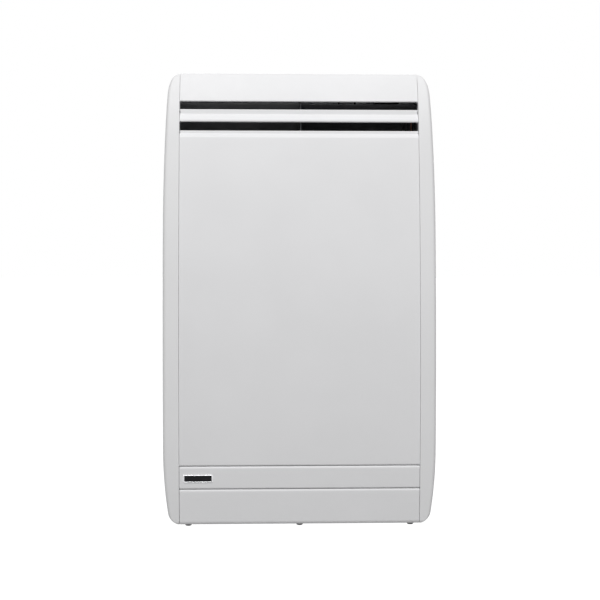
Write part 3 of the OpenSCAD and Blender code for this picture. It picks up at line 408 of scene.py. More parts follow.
def galvanised_sheet():
    zinc = Finish("galvanised_sheet", (0.6, 0.61, 0.62), 0.42, 1.0)
    spangle = zinc.cells(150)
    zinc.colours(spangle, (0.5, 0.51, 0.53), (0.68, 0.69, 0.7), 0.1, 0.9)
    zinc.roughness(spangle, 0.33, 0.55, 0.1, 0.9)
    zinc.bump(zinc.cells(150, "Distance"), 0.1, 0.05)
    zinc.bump(zinc.noise(700, 3), 0.08, 0.02)
    return zinc.material


def zinc_fixings():
    zinc = Finish("zinc_fixings", (0.62, 0.62, 0.6), 0.36, 1.0)
    zinc.colours(zinc.noise(60, 4), (0.55, 0.56, 0.56), (0.68, 0.67, 0.63))
    zinc.roughness(zinc.noise(320, 3), 0.28, 0.46)
    zinc.bump(zinc.noise(900, 3), 0.15, 0.02)
    return zinc.material


def black_coat():
    coat = Finish("black_coat", (0.09, 0.09, 0.096), 0.5)
    coat.shades(coat.noise(30, 3), 0.85, 1.2)
    coat.roughness(coat.noise(200, 2), 0.42, 0.58)
    coat.bump(coat.noise(1100, 2), 0.2, 0.04)
    return coat.material


def grey_coat():
    coat = Finish("grey_coat", (0.3, 0.305, 0.31), 0.5)
    coat.shades(coat.noise(25, 3), 0.93, 1.06)
    coat.roughness(coat.noise(180, 2), 0.43, 0.56)
    coat.bump(coat.noise(900, 2), 0.18, 0.04)
    return coat.material


def rolled_aluminium():
    metal = Finish("rolled_aluminium", (0.8, 0.8, 0.81), 0.34, 1.0)
    lines = metal.noise(90, 4, 0.6, metal.stretched(0.05, 6, 6))
    metal.colours(lines, (0.7, 0.7, 0.71), (0.84, 0.84, 0.85))
    metal.roughness(lines, 0.26, 0.42)
    metal.bump(lines, 0.15, 0.02)
    return metal.material


def fired_ceramic():
    ceramic = Finish("fired_ceramic", (0.72, 0.69, 0.62), 0.72)
    ceramic.shades(ceramic.noise(120, 4), 0.9, 1.05)
    ceramic.roughness(ceramic.noise(400, 3), 0.62, 0.82)
    ceramic.bump(ceramic.noise(1300, 4, 0.6), 0.35, 0.04)
    return ceramic.material


def drawn_copper():
    metal = Finish("drawn_copper", (0.22, 0.11, 0.075), 0.42, 1.0)
    patch = metal.noise(70, 4)
    metal.colours(patch, (0.16, 0.075, 0.05), (0.27, 0.14, 0.1))
    metal.roughness(patch, 0.36, 0.54)
    metal.bump(metal.noise(1100, 2), 0.12, 0.02)
    return metal.material


def plain_brass():
    metal = Finish("plain_brass", (0.72, 0.55, 0.26), 0.34, 1.0)
    patch = metal.noise(110, 3)
    metal.colours(patch, (0.6, 0.44, 0.19), (0.78, 0.6, 0.3))
    metal.roughness(patch, 0.27, 0.43)
    metal.bump(metal.noise(1500, 2), 0.12, 0.02)
    return metal.material


def moulded_plastic(name, colour, roughness, texture=1500, depth=0.03):
    """A moulded plastic with a fine tool texture"""
    plastic = Finish(name, colour, roughness)
    plastic.shades(plastic.noise(40, 3), 0.92, 1.08)
    plastic.roughness(plastic.noise(160, 3), roughness - 0.05, roughness + 0.06)
    plastic.bump(plastic.noise(texture, 3, 0.6), 0.2, depth)
    return plastic.material


def gloss_black():
    lacquer = Finish("gloss_black", (0.008, 0.008, 0.009), 0.12)
    lacquer.gloss(0.1)
    lacquer.roughness(lacquer.noise(220, 3), 0.09, 0.17)
    lacquer.shades(lacquer.noise(50, 2), 0.8, 1.3)
    lacquer.bump(lacquer.noise(500, 2), 0.04, 0.01)
    return lacquer.material


def bright_rim():
    metal = Finish("bright_rim", (0.86, 0.86, 0.88), 0.14, 1.0)
    metal.roughness(metal.noise(400, 3), 0.1, 0.2)
    metal.colours(metal.noise(80, 2), (0.82, 0.82, 0.84), (0.9, 0.9, 0.91))
    metal.bump(metal.noise(900, 2), 0.05, 0.01)
    return metal.material


def dark_screw():
    metal = Finish("dark_screw", (0.05, 0.05, 0.053), 0.45, 0.5)
    metal.colours(metal.noise(160, 3), (0.038, 0.038, 0.04), (0.065, 0.065, 0.068))
    metal.roughness(metal.noise(420, 3), 0.38, 0.55)
    metal.bump(metal.noise(1200, 3), 0.2, 0.02)
    return metal.material


def wire_cover():
    cover = Finish("wire_cover", (0.03, 0.03, 0.033), 0.42)
    cover.shades(cover.noise(60, 3), 0.85, 1.15)
    cover.roughness(cover.noise(250, 2), 0.36, 0.5)
    cover.bump(cover.noise(1700, 2), 0.15, 0.02)
    return cover.material


def printed_ink(name, colour, low, high):
    """A thin matt print, between two shades of its colour"""
    ink = Finish(name, colour, 0.55)
    ink.shades(ink.noise(300, 3), low, high)
    ink.bump(ink.noise(2400, 2), 0.15, 0.01)
    return ink.material


FINISHES = {
    "white_coat": white_powder_coat(),
    "white_moulding": white_moulding(),
    "galvanised": galvanised_sheet(),
    "zinc_fixings": zinc_fixings(),
    "black_coat": black_coat(),
    "grey_coat": grey_coat(),
    "aluminium": rolled_aluminium(),
    "ceramic": fired_ceramic(),
    "copper": drawn_copper(),
    "brass": plain_brass(),
    "black_plastic": moulded_plastic("black_plastic", (0.018, 0.018, 0.019), 0.42),
    "gloss_black": gloss_black(),
    "grey_plastic": moulded_plastic("grey_plastic", (0.09, 0.092, 0.096), 0.5),
    "rubber_grey": moulded_plastic("rubber_grey", (0.05, 0.05, 0.052), 0.7, 900, 0.06),
    "rim_metal": bright_rim(),
    "wire": wire_cover(),
    "screw_dark": dark_screw(),
}
# Painted light: the left deflector's lighter grey stands for the light it catches behind the
# slots, while the right deflector keeps the black coat
PAINTED_LIGHT_DEFLECTOR_GREY = moulded_plastic("deflector_painted_light_grey", (0.22, 0.22, 0.23), 0.5, 900, 0.04)
DARK_PRINT = printed_ink("dark_print", (0.06, 0.06, 0.065), 0.8, 1.3)
PALE_PRINT = printed_ink("pale_print", (0.75, 0.75, 0.76), 0.92, 1.03)


# The front pieces, folded from sheet


def fold_back(front_z, rise=0):
    """The back edge of a hem behind the face at a height"""
    return (face_depth(front_z) - HEM, front_z + rise)


def finish_sheet(folds, step_r=0):
    """Rounds the folds, each given as (radius, low, high), then the side edges, and thickens"""
    merge()
    face_outwards((0, -1, 0.2))
    if step_r:
        round_edges(step_r, 3, lambda e: level(e) and 15 < bend_of(e) <= 60)
    for radius, low, high in folds:
        round_edges(
            radius, 5, lambda e: level(e) and bend_of(e) > 60 and low < height_of(e) < high
        )
    round_edges(SIDE_R, 4, lambda e: not level(e) and bend_of(e) > 60)
    piece = close_piece(weighted=False)
    use(piece, "SOLIDIFY", thickness=SHEET_T * MM, offset=-1)
    smooth(piece)
    return piece


def level(edge):
    """True for an edge that runs along X"""
    a, b = (v.co for v in edge.verts)
    return abs(a.y - b.y) < 2e-5 and abs(a.z - b.z) < 2e-5


def height_of(edge):
    """Height of an edge's middle above the casing's bottom, in millimetres"""
    return middle(edge).z / MM + ORIGIN_Z


def front_panel():
    band = PANEL_TOP - PANEL_BAND
    path = [
        fold_back(PANEL_TOP),
        (face_depth(band) - STEP_BACK, PANEL_TOP),
        (face_depth(band) - STEP_BACK, band),
        *face_rows(PANEL_FACE_TOP, PANEL_BOTTOM),
        fold_back(PANEL_BOTTOM),
    ]
    draw_sheet("front_panel_sheet", -FRONT_X, FRONT_X, path)
    turn_in_sides(HEM - STEP_BACK, STEP_BACK, PANEL_FACE_TOP)
    panel = finish_sheet([(FOLD_R, 0, 300), (SLOT_FOLD_R, 300, 999)], STEP_R)
    fit(panel, "heater", "white_coat", "front_panel")


def louvre_slat():
    band = SLAT_TOP - SLAT_BAND
    path = [
        fold_back(SLAT_TOP),
        (face_depth(band) - STEP_BACK, SLAT_TOP),
        (face_depth(band) - STEP_BACK, band),
        *face_rows(SLAT_FACE_TOP, SLAT_BOTTOM, 2),
        fold_back(SLAT_BOTTOM, HEM_RISE),
    ]
    draw_sheet("louvre_slat_sheet", -FRONT_X, FRONT_X, path)
    turn_in_sides(HEM - STEP_BACK, STEP_BACK, SLAT_FACE_TOP)
    slat = finish_sheet([(SLOT_FOLD_R, 0, 999)], STEP_R)
    fit(slat, "heater", "white_coat", "louvre_slat")


def badge_strip():
    rows = face_rows(BADGE_TOP, BADGE_BOTTOM, 6)
    path = [fold_back(BADGE_TOP), *rows, fold_back(BADGE_BOTTOM)]
    draw_sheet("badge_strip_sheet", -FRONT_X, FRONT_X, path)
    turn_in_sides(HEM)
    middle_z = (BADGE_TOP + BADGE_BOTTOM) / 2
    strip = finish_sheet([(STRIP_EDGE_R, middle_z, 999), (FOLD_R, 0, middle_z)])
    fit(strip, "heater", "white_coat", "badge_strip")


def lower_strip():
    rows = face_rows(LOWER_TOP, 0, 6)
    path = [fold_back(LOWER_TOP), *rows, fold_back(0), (LOWER_FLANGE_D, 0)]
    draw_sheet("lower_strip_sheet", -FRONT_X, FRONT_X, path)
    turn_in_sides(HEM)
    strip = finish_sheet([(STRIP_EDGE_R, 20, 999), (BOTTOM_EDGE_R, -1, 20)])
    fit(strip, "heater", "white_coat", "lower_strip")


def top_cap():
    path = [
        (FLANGE_D, BODY_H - CAP_FLANGE),
        (FLANGE_D, BODY_H - CAP_SIDE_DROP),
        (FLANGE_D, BODY_H),
        (TRAY_BACK - CAP_HOLE_GAP, BODY_H),
        (TRAY_FRONT + CAP_HOLE_GAP, BODY_H),
        *face_rows(BODY_H, SLOT_TOP, 4),
        fold_back(SLOT_TOP, HEM_RISE),
    ]
    draw_sheet("top_cap_sheet", -FRONT_X, FRONT_X, path)
    for side in (-1, 1):
        turn_in_cap_side(side)
    cut_tray_hole()
    cap = finish_sheet([(TOP_EDGE_R, 650, 999), (SLOT_FOLD_R, 0, 650)])
    fit(cap, "heater", "white_coat", "top_cap")


def turn_in_cap_side(side):
    """Turns one side edge of the cap down at the roof and back at the face"""
    flange = -(FLANGE_D + 1) * MM
    pick("EDGE", lambda e: at_side(e, side) and (
        on_roof(e) or on_face(e) and middle(e).y < flange))
    draw_out()
    mesh = bmesh.from_edit_mesh(bpy.context.edit_object.data)
    drawn = [v for v in mesh.verts if v.select]
    keep(mesh, drawn, lambda v: v.co.z > up(BODY_H) - 1e-5)
    shift(z=-CAP_SIDE_DROP)
    keep(mesh, drawn, lambda v: v.co.y < -face_depth(BODY_H) * MM + 1e-5)
    shift(d=-HEM)


def on_roof(part):
    """True for an edge or face of the cap's level top"""
    return all(v.co.z > up(BODY_H) - 1e-5 for v in part.verts)


def cut_tray_hole():
    """Cuts the roof along the tray's ends and takes out what lies between"""
    x0, x1 = TRAY_X - CAP_HOLE_GAP, TRAY_X + TRAY_W + CAP_HOLE_GAP
    for x in (x0, x1):
        pick("FACE", on_roof)
        bpy.ops.mesh.bisect(plane_co=spot(x, 0, 0), plane_no=(1, 0, 0))
    pick("FACE", lambda f: on_roof(f) and x0 < middle(f).x / MM < x1
         and TRAY_BACK - 1.8 < -middle(f).y / MM < TRAY_FRONT + 1.8)
    bpy.ops.mesh.delete(type="FACE")


# The side trims, moulded


def trim_corner(end, sign, taper_h, taper_r, width, height):
    """A slow draw-in, then a quarter of an oval that carries on from its slope"""
    turn = 0
    for _ in range(12):
        start = math.atan(math.tan(turn) * height / width)
        turn = math.asin((taper_h - height * (1 - math.sin(start))) / taper_r)
    mid_x = TRIM_OUT - taper_r * (1 - math.cos(turn)) - width * math.cos(start)
    slow = [turn * i / 16 for i in range(16)]
    tight = [start + (math.pi / 2 - start) * i / 16 for i in range(17)]
    return [
        (end - sign * (taper_h - taper_r * math.sin(a)), TRIM_OUT - taper_r * (1 - math.cos(a)))
        for a in slow
    ] + [(end - sign * height * (1 - math.sin(a)), mid_x + width * math.cos(a)) for a in tight]


def trim_contour():
    """The right trim's outer edge from the bottom up as (height, x)"""
    bottom = trim_corner(0, -1, BOTTOM_TAPER_H, BOTTOM_TAPER_R, BOTTOM_CORNER, BOTTOM_CORNER)
    top = trim_corner(BODY_H, 1, TOP_TAPER_H, TOP_TAPER_R, TOP_CORNER_W, TOP_CORNER_H)
    span = BODY_H - BOTTOM_TAPER_H - TOP_TAPER_H
    straight = [(BOTTOM_TAPER_H + span * i / 30, TRIM_OUT) for i in range(1, 30)]
    return [row for row in bottom[::-1] + straight + top if row[1] > TRIM_X + 0.6]


def trim_front(z):
    """Depth of the trim's face at a height, with its top and bottom front edges rounded"""
    depth = face_depth(z) + TRIM_PROUD
    ends = ((z - BODY_H + TOP_EDGE_R, TOP_EDGE_R), (BOTTOM_EDGE_R - z, BOTTOM_EDGE_R))
    for reach, radius in ends:
        if reach > 0:
            depth -= radius - math.sqrt(max(0, radius**2 - reach**2))
    return depth


def quarter(centre_x, centre_d, radius, start, steps=4):
    """Points of a quarter round, clockwise seen from above, as (x, depth)"""
    turns = [start - math.pi / 2 * i / steps for i in range(steps + 1)]
    return [(centre_x + radius * math.cos(a), centre_d + radius * math.sin(a)) for a in turns]


def trim_outline():
    """The trim seen from above as (x, depth), from the lip at the seam round to the back"""
    seam_x, seam_d = TRIM_X + TRIM_SEAM_R, TRIM_FULL_D - TRIM_SEAM_R
    edge_x, edge_d = TRIM_OUT - TRIM_EDGE_R, TRIM_FULL_D - TRIM_EDGE_R
    return [
        (TRIM_X, TRIM_FULL_D - TRIM_LIP),
        *quarter(seam_x, seam_d, TRIM_SEAM_R, math.pi),
        (TRIM_X + 9, TRIM_FULL_D), (TRIM_X + 16, TRIM_FULL_D),
        *quarter(edge_x, edge_d, TRIM_EDGE_R, math.pi / 2, 6),
        (TRIM_OUT, 48), (TRIM_OUT, 30), (TRIM_OUT, TRIM_BACK),
    ]


def trim_shell(name):
    """The right trim's outer skin, drawn as an upright strip and then cut and shaped row by row"""
    around = trim_outline()
    contour = trim_contour()
    low, high = contour[0][0], contour[-1][0]
    clear_selection()
    (x0, d0), (x1, d1) = around[:2]
    bpy.ops.mesh.primitive_plane_add(
        size=1, location=spot(x0, (d0 + d1) / 2, (low + high) / 2), rotation=(0, math.pi / 2, 0)
    )
    open_piece(name, ((high - low) * MM, (d1 - d0) * MM, 1))
    pick("VERT", lambda v: v.co.y < -(d1 - 0.01) * MM)
    for (xa, da), (xb, db) in zip(around[1:], around[2:]):
        draw_out(x=xb - xa, d=db - da)
    for z, _ in contour[1:-1]:
        cut(spot(0, 0, z), (0, 0, 1))
    for z, x_out in contour:
        pick("VERT", lambda v: in_row(v, z))
        narrow = (x_out - TRIM_X) / (TRIM_OUT - TRIM_X)
        if narrow < 0.9999:
            bpy.ops.transform.resize(value=(narrow, 1, 1), center_override=spot(TRIM_X, 0, 0))
        pick("VERT", lambda v: in_row(v, z) and v.co.y < -100 * MM)
        shift(d=trim_front(z) - TRIM_FULL_D)
    for end_z in (low, high):
        close_trim_end(end_z)


def in_row(v, z):
    """True for a vertex at a height"""
    return abs(v.co.z - up(z)) < 2e-5


def close_trim_end(end_z):
    """Carries the lip's end back to the trim's rear edge and closes the end with one face"""
    lip_d = trim_front(end_z) - TRIM_LIP
    pick("VERT", lambda v: in_row(v, end_z) and v.co.x < (TRIM_X + 0.01) * MM
         and v.co.y > -(lip_d + 0.1) * MM)
    draw_out(d=TRIM_BACK - lip_d)
    pick("VERT", lambda v: in_row(v, end_z))
    bpy.ops.mesh.edge_face_add()


def side_trim(side, node):
    trim_shell("trim_cover_right" if side > 0 else "trim_cover_left")
    merge()
    if side < 0:
        bpy.ops.mesh.select_all(action="SELECT")
        bpy.ops.transform.resize(value=(-1, 1, 1), center_override=(0, 0, 0))
    face_outwards((side, -1, 0))
    trim = close_piece(weighted=False)
    use(trim, "SOLIDIFY", thickness=TRIM_WALL * MM, offset=-1, use_even_offset=False)
    add_trim_ribs(trim, side)
    smooth(trim, 30)
    fit(trim, "heater", "white_moulding", node)


def add_trim_ribs(trim, side):
    """Four cross ribs inside the trim, each a thin plate with its inner corners rounded"""
    x0, x1 = RIB_X, TRIM_OUT - TRIM_WALL + 0.3
    for share in RIB_SHARES:
        z = share * BODY_H + 1
        front = face_depth(z) - 1
        place = spot(side * (x0 + x1) / 2, (RIB_BACK + front) / 2, z)
        rib = open_box("trim_rib", place, (x1 - x0, front - RIB_BACK, RIB_T))
        pick("EDGE", lambda e: abs(middle(e).x) < (x0 + 0.01) * MM
             and abs(e.verts[0].co.z - e.verts[1].co.z) > 1e-4)
        bpy.ops.mesh.bevel(offset=RIB_CORNER_R * MM, segments=4, affect="EDGES")
        bpy.ops.object.mode_set(mode="OBJECT")
        clear_selection()
        rib.select_set(True)
        trim.select_set(True)
        bpy.context.view_layer.objects.active = trim
        bpy.ops.object.join()


# The plate on the strip


def plate_lean():
    """Angle by which the face leans where the plate sits"""
    return math.asin((PLATE_Z - APEX_Z) / face_r)


def on_plate(out):
    """A place over the plate's middle, out from the face"""
    lean = plate_lean()
    depth = face_depth(PLATE_Z) + out * math.cos(lean)
    return spot(PLATE_X, depth, PLATE_Z + out * math.sin(lean))


def badge_plate():
    size = (PLATE_W, PLATE_H, PLATE_T)
    open_box("badge_plate_lens", on_plate(0.55), size, math.pi / 2 - plate_lean())
    pick("FACE", lambda f: f.normal.y < -0.9)
    bpy.ops.mesh.inset(thickness=0.9 * MM, depth=0.12 * MM)
    bpy.ops.mesh.inset(thickness=1.4 * MM, depth=0.04 * MM)
    round_edges(0.3, 3, lambda e: bend_of(e) > 60)
    fit(close_piece(), "heater", "gloss_black", "badge_plate")


def badge_rim():
    clear_selection()
    w, h = PLATE_W + 2 * RIM_W + 0.1, PLATE_H + 2 * RIM_W + 0.1
    lean = plate_lean()
    bpy.ops.mesh.primitive_plane_add(
        size=1, location=on_plate(0.1), rotation=(math.pi / 2 - lean, 0, 0)
    )
    open_piece("badge_plate_rim", (w * MM, h * MM, 1))
    bpy.ops.mesh.select_all(action="SELECT")
    bpy.ops.mesh.inset(thickness=RIM_W * MM)
    bpy.ops.mesh.delete(type="FACE")
    bpy.ops.mesh.select_all(action="SELECT")
    draw_out(d=RIM_T * math.cos(lean), z=RIM_T * math.sin(lean))
    face_outwards((0, -1, 0))
    round_edges(0.25, 3, lambda e: bend_of(e) > 60 and middle(e).y < on_plate(0.8)[1])
    fit(close_piece(), "heater", "rim_metal", "badge_rim")


# The screws under the casing


def cover_screw(name, x):
    """A pan head with a round recess, on its shank"""
    clear_selection()
    bpy.ops.mesh.primitive_cylinder_add(
        vertices=48, radius=SCREW_HEAD_R * MM, depth=(SCREW_HEAD_H - SCREW_GAP) * MM,
        end_fill_type="NGON", location=spot(x, SCREW_D, -(SCREW_HEAD_H + SCREW_GAP) / 2),
    )
    open_piece(name)
    low = up(0.05 - SCREW_HEAD_H)
    round_edges(
        SCREW_ROUNDING, 4, lambda e: all(v.co.z < low for v in e.verts) and bend_of(e) > 60
    )
    pick("FACE", lambda f: len(f.verts) > 8 and f.normal.z < -0.9)
    bpy.ops.mesh.delete(type="FACE")
    pick("EDGE", lambda e: e.is_boundary)
    draw_out(z=RECESS_H)
    bpy.ops.mesh.edge_face_add()
    pick("FACE", lambda f: len(f.verts) > 8 and f.normal.z > 0.9)
    bpy.ops.mesh.inset(thickness=(SCREW_HEAD_R - SHANK_R) * MM)
    draw_out(z=SHANK_L)
    merge(0.001)
    bpy.ops.mesh.normals_make_consistent(inside=False)
    round_edges(0.3, 2, lambda e: all(v.co.z > up(10) for v in e.verts) and bend_of(e) > 60)
    return close_piece()


def cover_screws():
    for side, x in (("left", -SCREW_X), ("middle", 0), ("right", SCREW_X)):
        screw = cover_screw(f"cover_screw_{side}", x)
        fit(screw, "heater", "screw_dark", "cover_screws")


# The air deflectors behind the slots


def air_deflector(name, x0, x1, top, node, material):
    """A sheet that leans forward in one long bend"""
    rear, front = FLANGE_D + 2, face_depth(SLOT_TOP) - HEM - 2
    turn = math.pi / 2 - math.atan2(BEND_H, front - rear)
    tangent = BEND_R * math.tan(turn / 2)
    centre = (rear + BEND_R, top - BEND_H - tangent)
    path = [(rear, top - DEFLECTOR_H)]
    for i in range(BEND_STEPS + 1):
        angle = math.pi - turn * i / BEND_STEPS
        path.append((centre[0] + BEND_R * math.cos(angle), centre[1] + BEND_R * math.sin(angle)))
    path.append((front, top))
    draw_sheet(name, x0, x1, path)
    merge()
    face_outwards((0, -1, -0.3))
    piece = close_piece(weighted=False)
    use(piece, "SOLIDIFY", thickness=DEFLECTOR_T * MM, offset=-1)
    smooth(piece, weighted=False)
    fit(piece, "heater", "black_coat", node, material=material)


def air_deflectors():
    # The left deflector wears the lighter grey, painted light for the light it catches; the right
    # one is plain black coat
    air_deflector(
        "deflector_left", -DEFLECTOR_X, SUPPORT_X0, LEFT_DEFLECTOR_TOP,
        "left_air_deflector", PAINTED_LIGHT_DEFLECTOR_GREY,
    )
    air_deflector(
        "deflector_right", SUPPORT_X1, DEFLECTOR_X, RIGHT_DEFLECTOR_TOP,
        "right_air_deflector", FINISHES["black_coat"],
    )


# The controls under the flap


def control_flap():
    x0, x1 = TRAY_X + FLAP_GAP, TRAY_X + TRAY_W - FLAP_GAP
    d0, d1 = TRAY_BACK + FLAP_REAR_GAP, TRAY_FRONT - FLAP_GAP
    mid_x, mid_z = (x0 + x1) / 2, BODY_H - FLAP_T / 2
    flap = open_box("flap_cover", spot(mid_x, (d0 + d1) / 2, mid_z), (x1 - x0, d1 - d0, FLAP_T))
    for x in (x0 + FLAP_MARGIN, mid_x - FLAP_MARGIN, mid_x + FLAP_MARGIN, x1 - FLAP_MARGIN):
        cut(spot(x, 0, 0), (1, 0, 0))
    bpy.ops.object.mode_set(mode="OBJECT")
    cut_thumb_notch(flap, spot(mid_x, TRAY_FRONT + THUMB_OUT, mid_z))
    bpy.ops.object.mode_set(mode="EDIT")
    merge(0.005)
    round_edges(0.55, 3, lambda e: bend_of(e) > 60)
    for x in (x0 + BARREL_INSET, x1 - BARREL_L - BARREL_INSET):
        add_hinge_barrel(x + BARREL_L / 2)
    fit(close_piece(), "control_flap", "white_moulding", "control_flap")


def cut_thumb_notch(flap, place):
    """Takes a round bite out of the flap's front edge"""
    clear_selection()
    bpy.ops.mesh.primitive_cylinder_add(
        vertices=64, radius=THUMB_R * MM, depth=8 * MM, location=place
    )
    thumb = bpy.context.object
    clear_selection()
    flap.select_set(True)
    bpy.context.view_layer.objects.active = flap
    use(flap, "BOOLEAN", operation="DIFFERENCE", object=thumb, solver="EXACT")
    bpy.data.objects.remove(thumb)


def add_hinge_barrel(x):
    """A barrel under the flap's rear edge, on a short web"""
    bpy.ops.mesh.select_all(action="DESELECT")
    bpy.ops.mesh.primitive_cylinder_add(
        vertices=40, radius=BARREL_R * MM, depth=BARREL_L * MM, end_fill_type="NGON",
        location=spot(x, TRAY_BACK + 4, BODY_H - 3.2), rotation=(0, math.pi / 2, 0),
    )
    web = spot(x, TRAY_BACK + 4.3, BODY_H - 2.1)
    bpy.ops.mesh.select_all(action="DESELECT")
    bpy.ops.mesh.primitive_cube_add(size=MM, location=web)
    bpy.ops.transform.resize(value=(BARREL_L, 3, 2.2), center_override=web)


def thermostat_knob():
    """A skirted knob with a raised grip and a pointer line"""
    z0 = TRAY_FLOOR + KNOB_GAP
    body, grip, pointer = knob_body(z0), knob_grip(z0), knob_pointer(z0)
    fit(body, "thermostat_knob", "white_moulding", "thermostat_knob")
    fit(grip, "thermostat_knob", "white_moulding", "thermostat_knob")
    fit(pointer, "thermostat_knob", "black_plastic", material=DARK_PRINT)


def knob_body(z0):
    """The ribbed skirt and the dished collar over it"""
    clear_selection()
    bpy.ops.mesh.primitive_cylinder_add(
        vertices=KNOB_SIDES, radius=KNOB_R * MM, depth=SKIRT_H * MM, end_fill_type="NGON",
        location=spot(KNOB_X, CONTROL_D, z0 + SKIRT_H / 2),
    )
    open_piece("knob_body")
    pick("FACE", lambda f: f.normal.z > 0.9 and len(f.verts) > 8)
    bpy.ops.mesh.inset(thickness=3 * MM)
    draw_out(z=COLLAR_H)
    bpy.ops.mesh.inset(thickness=1.2 * MM)
    draw_out(z=-0.8)
    round_edges(0.5, 3, lambda e: bend_of(e) > 60 and middle(e).z > up(z0 + 1))
    hub = Vector(spot(KNOB_X, CONTROL_D, 0))
    for i in range(0, KNOB_SIDES, 4):
        angle = 2 * math.pi * (i + 0.5) / KNOB_SIDES
        toward = Vector((math.cos(angle), math.sin(angle), 0))
        pick("FACE", lambda f: abs(f.normal.z) < 0.1 and f.normal.dot(toward) > 0.9995
             and (middle(f) - hub).dot(toward) > (KNOB_R - 0.5) * MM)
        bpy.ops.mesh.inset(thickness=0.12 * MM, depth=-0.25 * MM)
    return close_piece()


def knob_grip(z0):
    """The bar across the knob, waisted and rounded"""
    foot = spot(KNOB_X, CONTROL_D, z0)
    place = spot(KNOB_X, CONTROL_D, z0 + GRIP_H / 2)
    open_box("knob_grip", place, (GRIP_W, GRIP_L, GRIP_H))
    for share in (-0.25, 0, 0.25):
        cut(spot(KNOB_X, CONTROL_D + GRIP_L * share, 0), (0, 1, 0))
    high = up(z0 + GRIP_H - 0.1)
    pick("VERT", lambda v: v.co.z > high)
    bpy.ops.transform.resize(value=(0.72, 0.94, 1), center_override=foot)
    pick("VERT", lambda v: v.co.z > high and abs(v.co.y + CONTROL_D * MM) < 1 * MM)
    bpy.ops.transform.resize(value=(0.75, 1, 1), center_override=foot)
    round_edges(0.8, 4, lambda e: bend_of(e) > 50 and middle(e).z > up(z0 + 1))
    return close_piece()


def knob_pointer(z0):
    """The line along the grip that points at the numbers"""
    place = spot(KNOB_X, CONTROL_D - 6.4, z0 + 10.66)
    open_box("knob_pointer_line", place, (POINTER_W, POINTER_L, 0.28))
    bpy.ops.mesh.select_all(action="SELECT")
    bpy.ops.mesh.bevel(offset=0.1 * MM, segments=2, affect="EDGES")
    return close_piece()


def lettering(name, words, size, place, tilt=0.0):
    """Flat raised figures lying level or tilted towards the front, made a mesh"""
    clear_selection()
    bpy.ops.object.text_add(location=place, rotation=(tilt, 0, 0))
    text = bpy.context.object.data
    text.body = words
    text.size = size * MM
    text.extrude = FIGURE_T * MM / 2
    text.align_x = "CENTER"
    text.align_y = "CENTER"
    bpy.ops.object.convert(target="MESH")
    figure = bpy.context.object
    bpy.ops.object.transform_apply(location=True, rotation=True, scale=True)
    figure.name = name
    return figure


def dial_numbers():
    """Numbers 1 to 6 round the knob, on the floor of the tray"""
    for i in range(6):
        angle = math.radians(225 - 270 * i / 5)
        x = KNOB_X + DIAL_R * math.cos(angle)
        d = CONTROL_D - DIAL_R * math.sin(angle)
        place = spot(x, d, TRAY_FLOOR + 0.05)
        figure = lettering(f"dial_number_{i + 1}", str(i + 1), DIGIT_SIZE, place)
        fit(figure, "heater", "white_moulding", material=PALE_PRINT)


def rocker(name, x):
    """A rocker with its two finger faces dished, tilted to its off position"""
    pivot = spot(x, CONTROL_D, ROCKER_PIVOT_Z)
    place = spot(x, CONTROL_D, ROCKER_PIVOT_Z + 2.6)
    open_box(name, place, (ROCKER_W, ROCKER_L, ROCKER_H))
    for share in (-0.25, 0, 0.25):
        cut(spot(x, CONTROL_D + ROCKER_L * share, 0), (0, 1, 0))
    high, low = up(ROCKER_PIVOT_Z + 6.1), up(ROCKER_PIVOT_Z - 0.5)
    for share, drop in ((-0.25, 1.1), (0, 1.6), (0.25, 1.1)):
        y = -(CONTROL_D + ROCKER_L * share) * MM
        pick("VERT", lambda v: v.co.z > high and abs(v.co.y - y) < 0.1 * MM)
        shift(z=-drop)
    pick("VERT", lambda v: v.co.z < low and abs(v.co.y + CONTROL_D * MM) < 0.1 * MM)
    shift(z=-2.4)
    round_edges(0.6, 3, lambda e: bend_of(e) > 60)
    bpy.ops.mesh.select_all(action="SELECT")
    bpy.ops.transform.rotate(
        value=math.radians(ROCKER_TILT), orient_axis="X", center_override=pivot
    )
    return close_piece()


def rockers():
    """Both rockers, with ON and OFF on the finger face that each pushes down"""
    labels = (("ON", -5.52, 6.74, -24), ("OFF", 7.48, 4.45, 4))
    for x, node in ((POWER_X, "power_rocker"), (HEAT_X, "heat_rocker")):
        fit(rocker(node + "_cap", x), node, "black_plastic", node)
        for words, y, z, tilt in labels:
            name = f"{node}_{words.lower()}"
            place = spot(x, CONTROL_D - y, ROCKER_PIVOT_Z + z)
            figure = lettering(name, words, LABEL_SIZE, place, math.radians(tilt))
            fit(figure, node, "white_moulding", material=PALE_PRINT)


# Materials on the CAD nodes


def dress_cad_nodes():
    """Gives each CAD node the finish that the record names for it"""
    for part in frame["record"]["subparts"]:
        piece = frame["nodes"][part["node"]]
        for slot in piece.material_slots:
            slot.material = FINISHES[part["material_slot"]]


# The set


def for_rays(nodes, links, *kinds):
    """A value that is 1 for rays of these kinds and 0 for all others"""
    path = nodes.new("ShaderNodeLightPath")
    value = path.outputs[kinds[0]]
    for kind in kinds[1:]:
        either = nodes.new("ShaderNodeMath")
        either.operation = "MAXIMUM"
        links.new(value, either.inputs[0])
        links.new(path.outputs[kind], either.inputs[1])
        value = either.outputs[0]
    return value


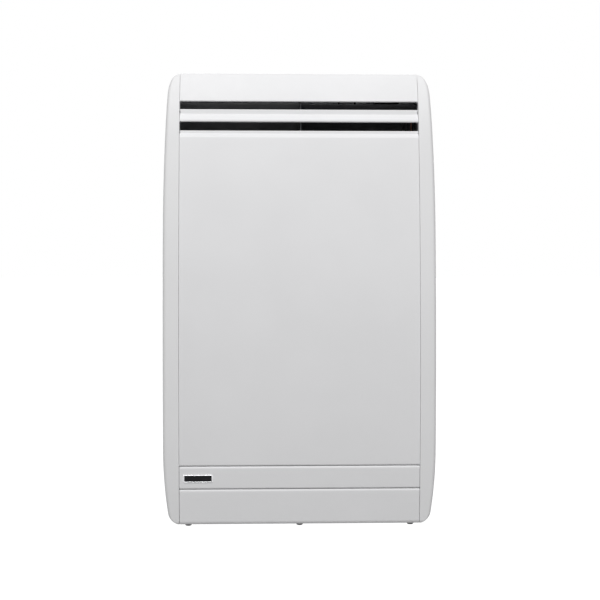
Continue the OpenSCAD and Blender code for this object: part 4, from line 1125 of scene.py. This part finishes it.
def floor():
    """A pale floor under the heater that shows white to the camera and keeps the soft shadow"""
    clear_selection()
    bpy.ops.mesh.primitive_plane_add(size=60, location=(0, 0, FLOOR_Z))
    ground = bpy.context.object
    ground.name = "floor"
    paint = bpy.data.materials.new("floor_white")
    paint.use_nodes = True
    nodes, links = paint.node_tree.nodes, paint.node_tree.links
    shader = nodes["Principled BSDF"]
    shader.inputs["Base Color"].default_value = (FLOOR_GREY, FLOOR_GREY, FLOOR_GREY, 1)
    shader.inputs["Roughness"].default_value = 0.9
    shader.inputs["Emission Color"].default_value = (1, 1, 1, 1)
    seen = for_rays(nodes, links, "Is Camera Ray", "Is Glossy Ray")
    glow = nodes.new("ShaderNodeMath")
    glow.operation = "MULTIPLY"
    glow.inputs[1].default_value = FLOOR_GLOW
    links.new(seen, glow.inputs[0])
    links.new(glow.outputs[0], shader.inputs["Emission Strength"])
    ground.data.materials.append(paint)


def sky():
    """Even light all round, white where the camera or a mirror looks"""
    world = bpy.data.worlds.new("studio")
    bpy.context.scene.world = world
    world.use_nodes = True
    nodes, links = world.node_tree.nodes, world.node_tree.links
    light = nodes["Background"]
    light.inputs["Color"].default_value = (1, 1, 1, 1)
    seen = for_rays(nodes, links, "Is Camera Ray", "Is Glossy Ray", "Is Transmission Ray")
    strength = nodes.new("ShaderNodeMapRange")
    strength.inputs["To Min"].default_value = WORLD_LEVEL
    strength.inputs["To Max"].default_value = 1.0
    links.new(seen, strength.inputs["Value"])
    links.new(strength.outputs["Result"], light.inputs["Strength"])


def lamp(name, place, aim, size, power):
    """A soft square lamp"""
    data = bpy.data.lights.new(name, "AREA")
    data.shape = "SQUARE"
    data.size = size
    data.energy = power
    obj = bpy.data.objects.new(name, data)
    bpy.context.scene.collection.objects.link(obj)
    obj.location = place
    obj.rotation_euler = (Vector(aim) - Vector(place)).to_track_quat("-Z", "Y").to_euler()


def camera():
    """The photo's place: a little left of the middle, a little above it and aimed slightly down"""
    data = bpy.data.cameras.new("camera")
    data.sensor_width = 36
    data.lens = 71.5
    data.shift_y = -0.029
    obj = bpy.data.objects.new("camera", data)
    bpy.context.scene.collection.objects.link(obj)
    obj.location = (-0.056, -1.859, 0.0616)
    obj.rotation_euler = (math.radians(90 - 1.2), 0, math.radians(-1.85))
    bpy.context.scene.camera = obj


dress_cad_nodes()
front_panel()
louvre_slat()
badge_strip()
lower_strip()
top_cap()
side_trim(1, "right_trim")
side_trim(-1, "left_trim")
badge_plate()
badge_rim()
cover_screws()
air_deflectors()
control_flap()
thermostat_knob()
dial_numbers()
rockers()
floor()
sky()
lamp("key", place=(-0.1, -2.15, 2.45), aim=(0, -0.1, 0.05), size=1.8, power=82)
camera()

bpy.context.scene.view_settings.view_transform = "Standard"
clear_selection()
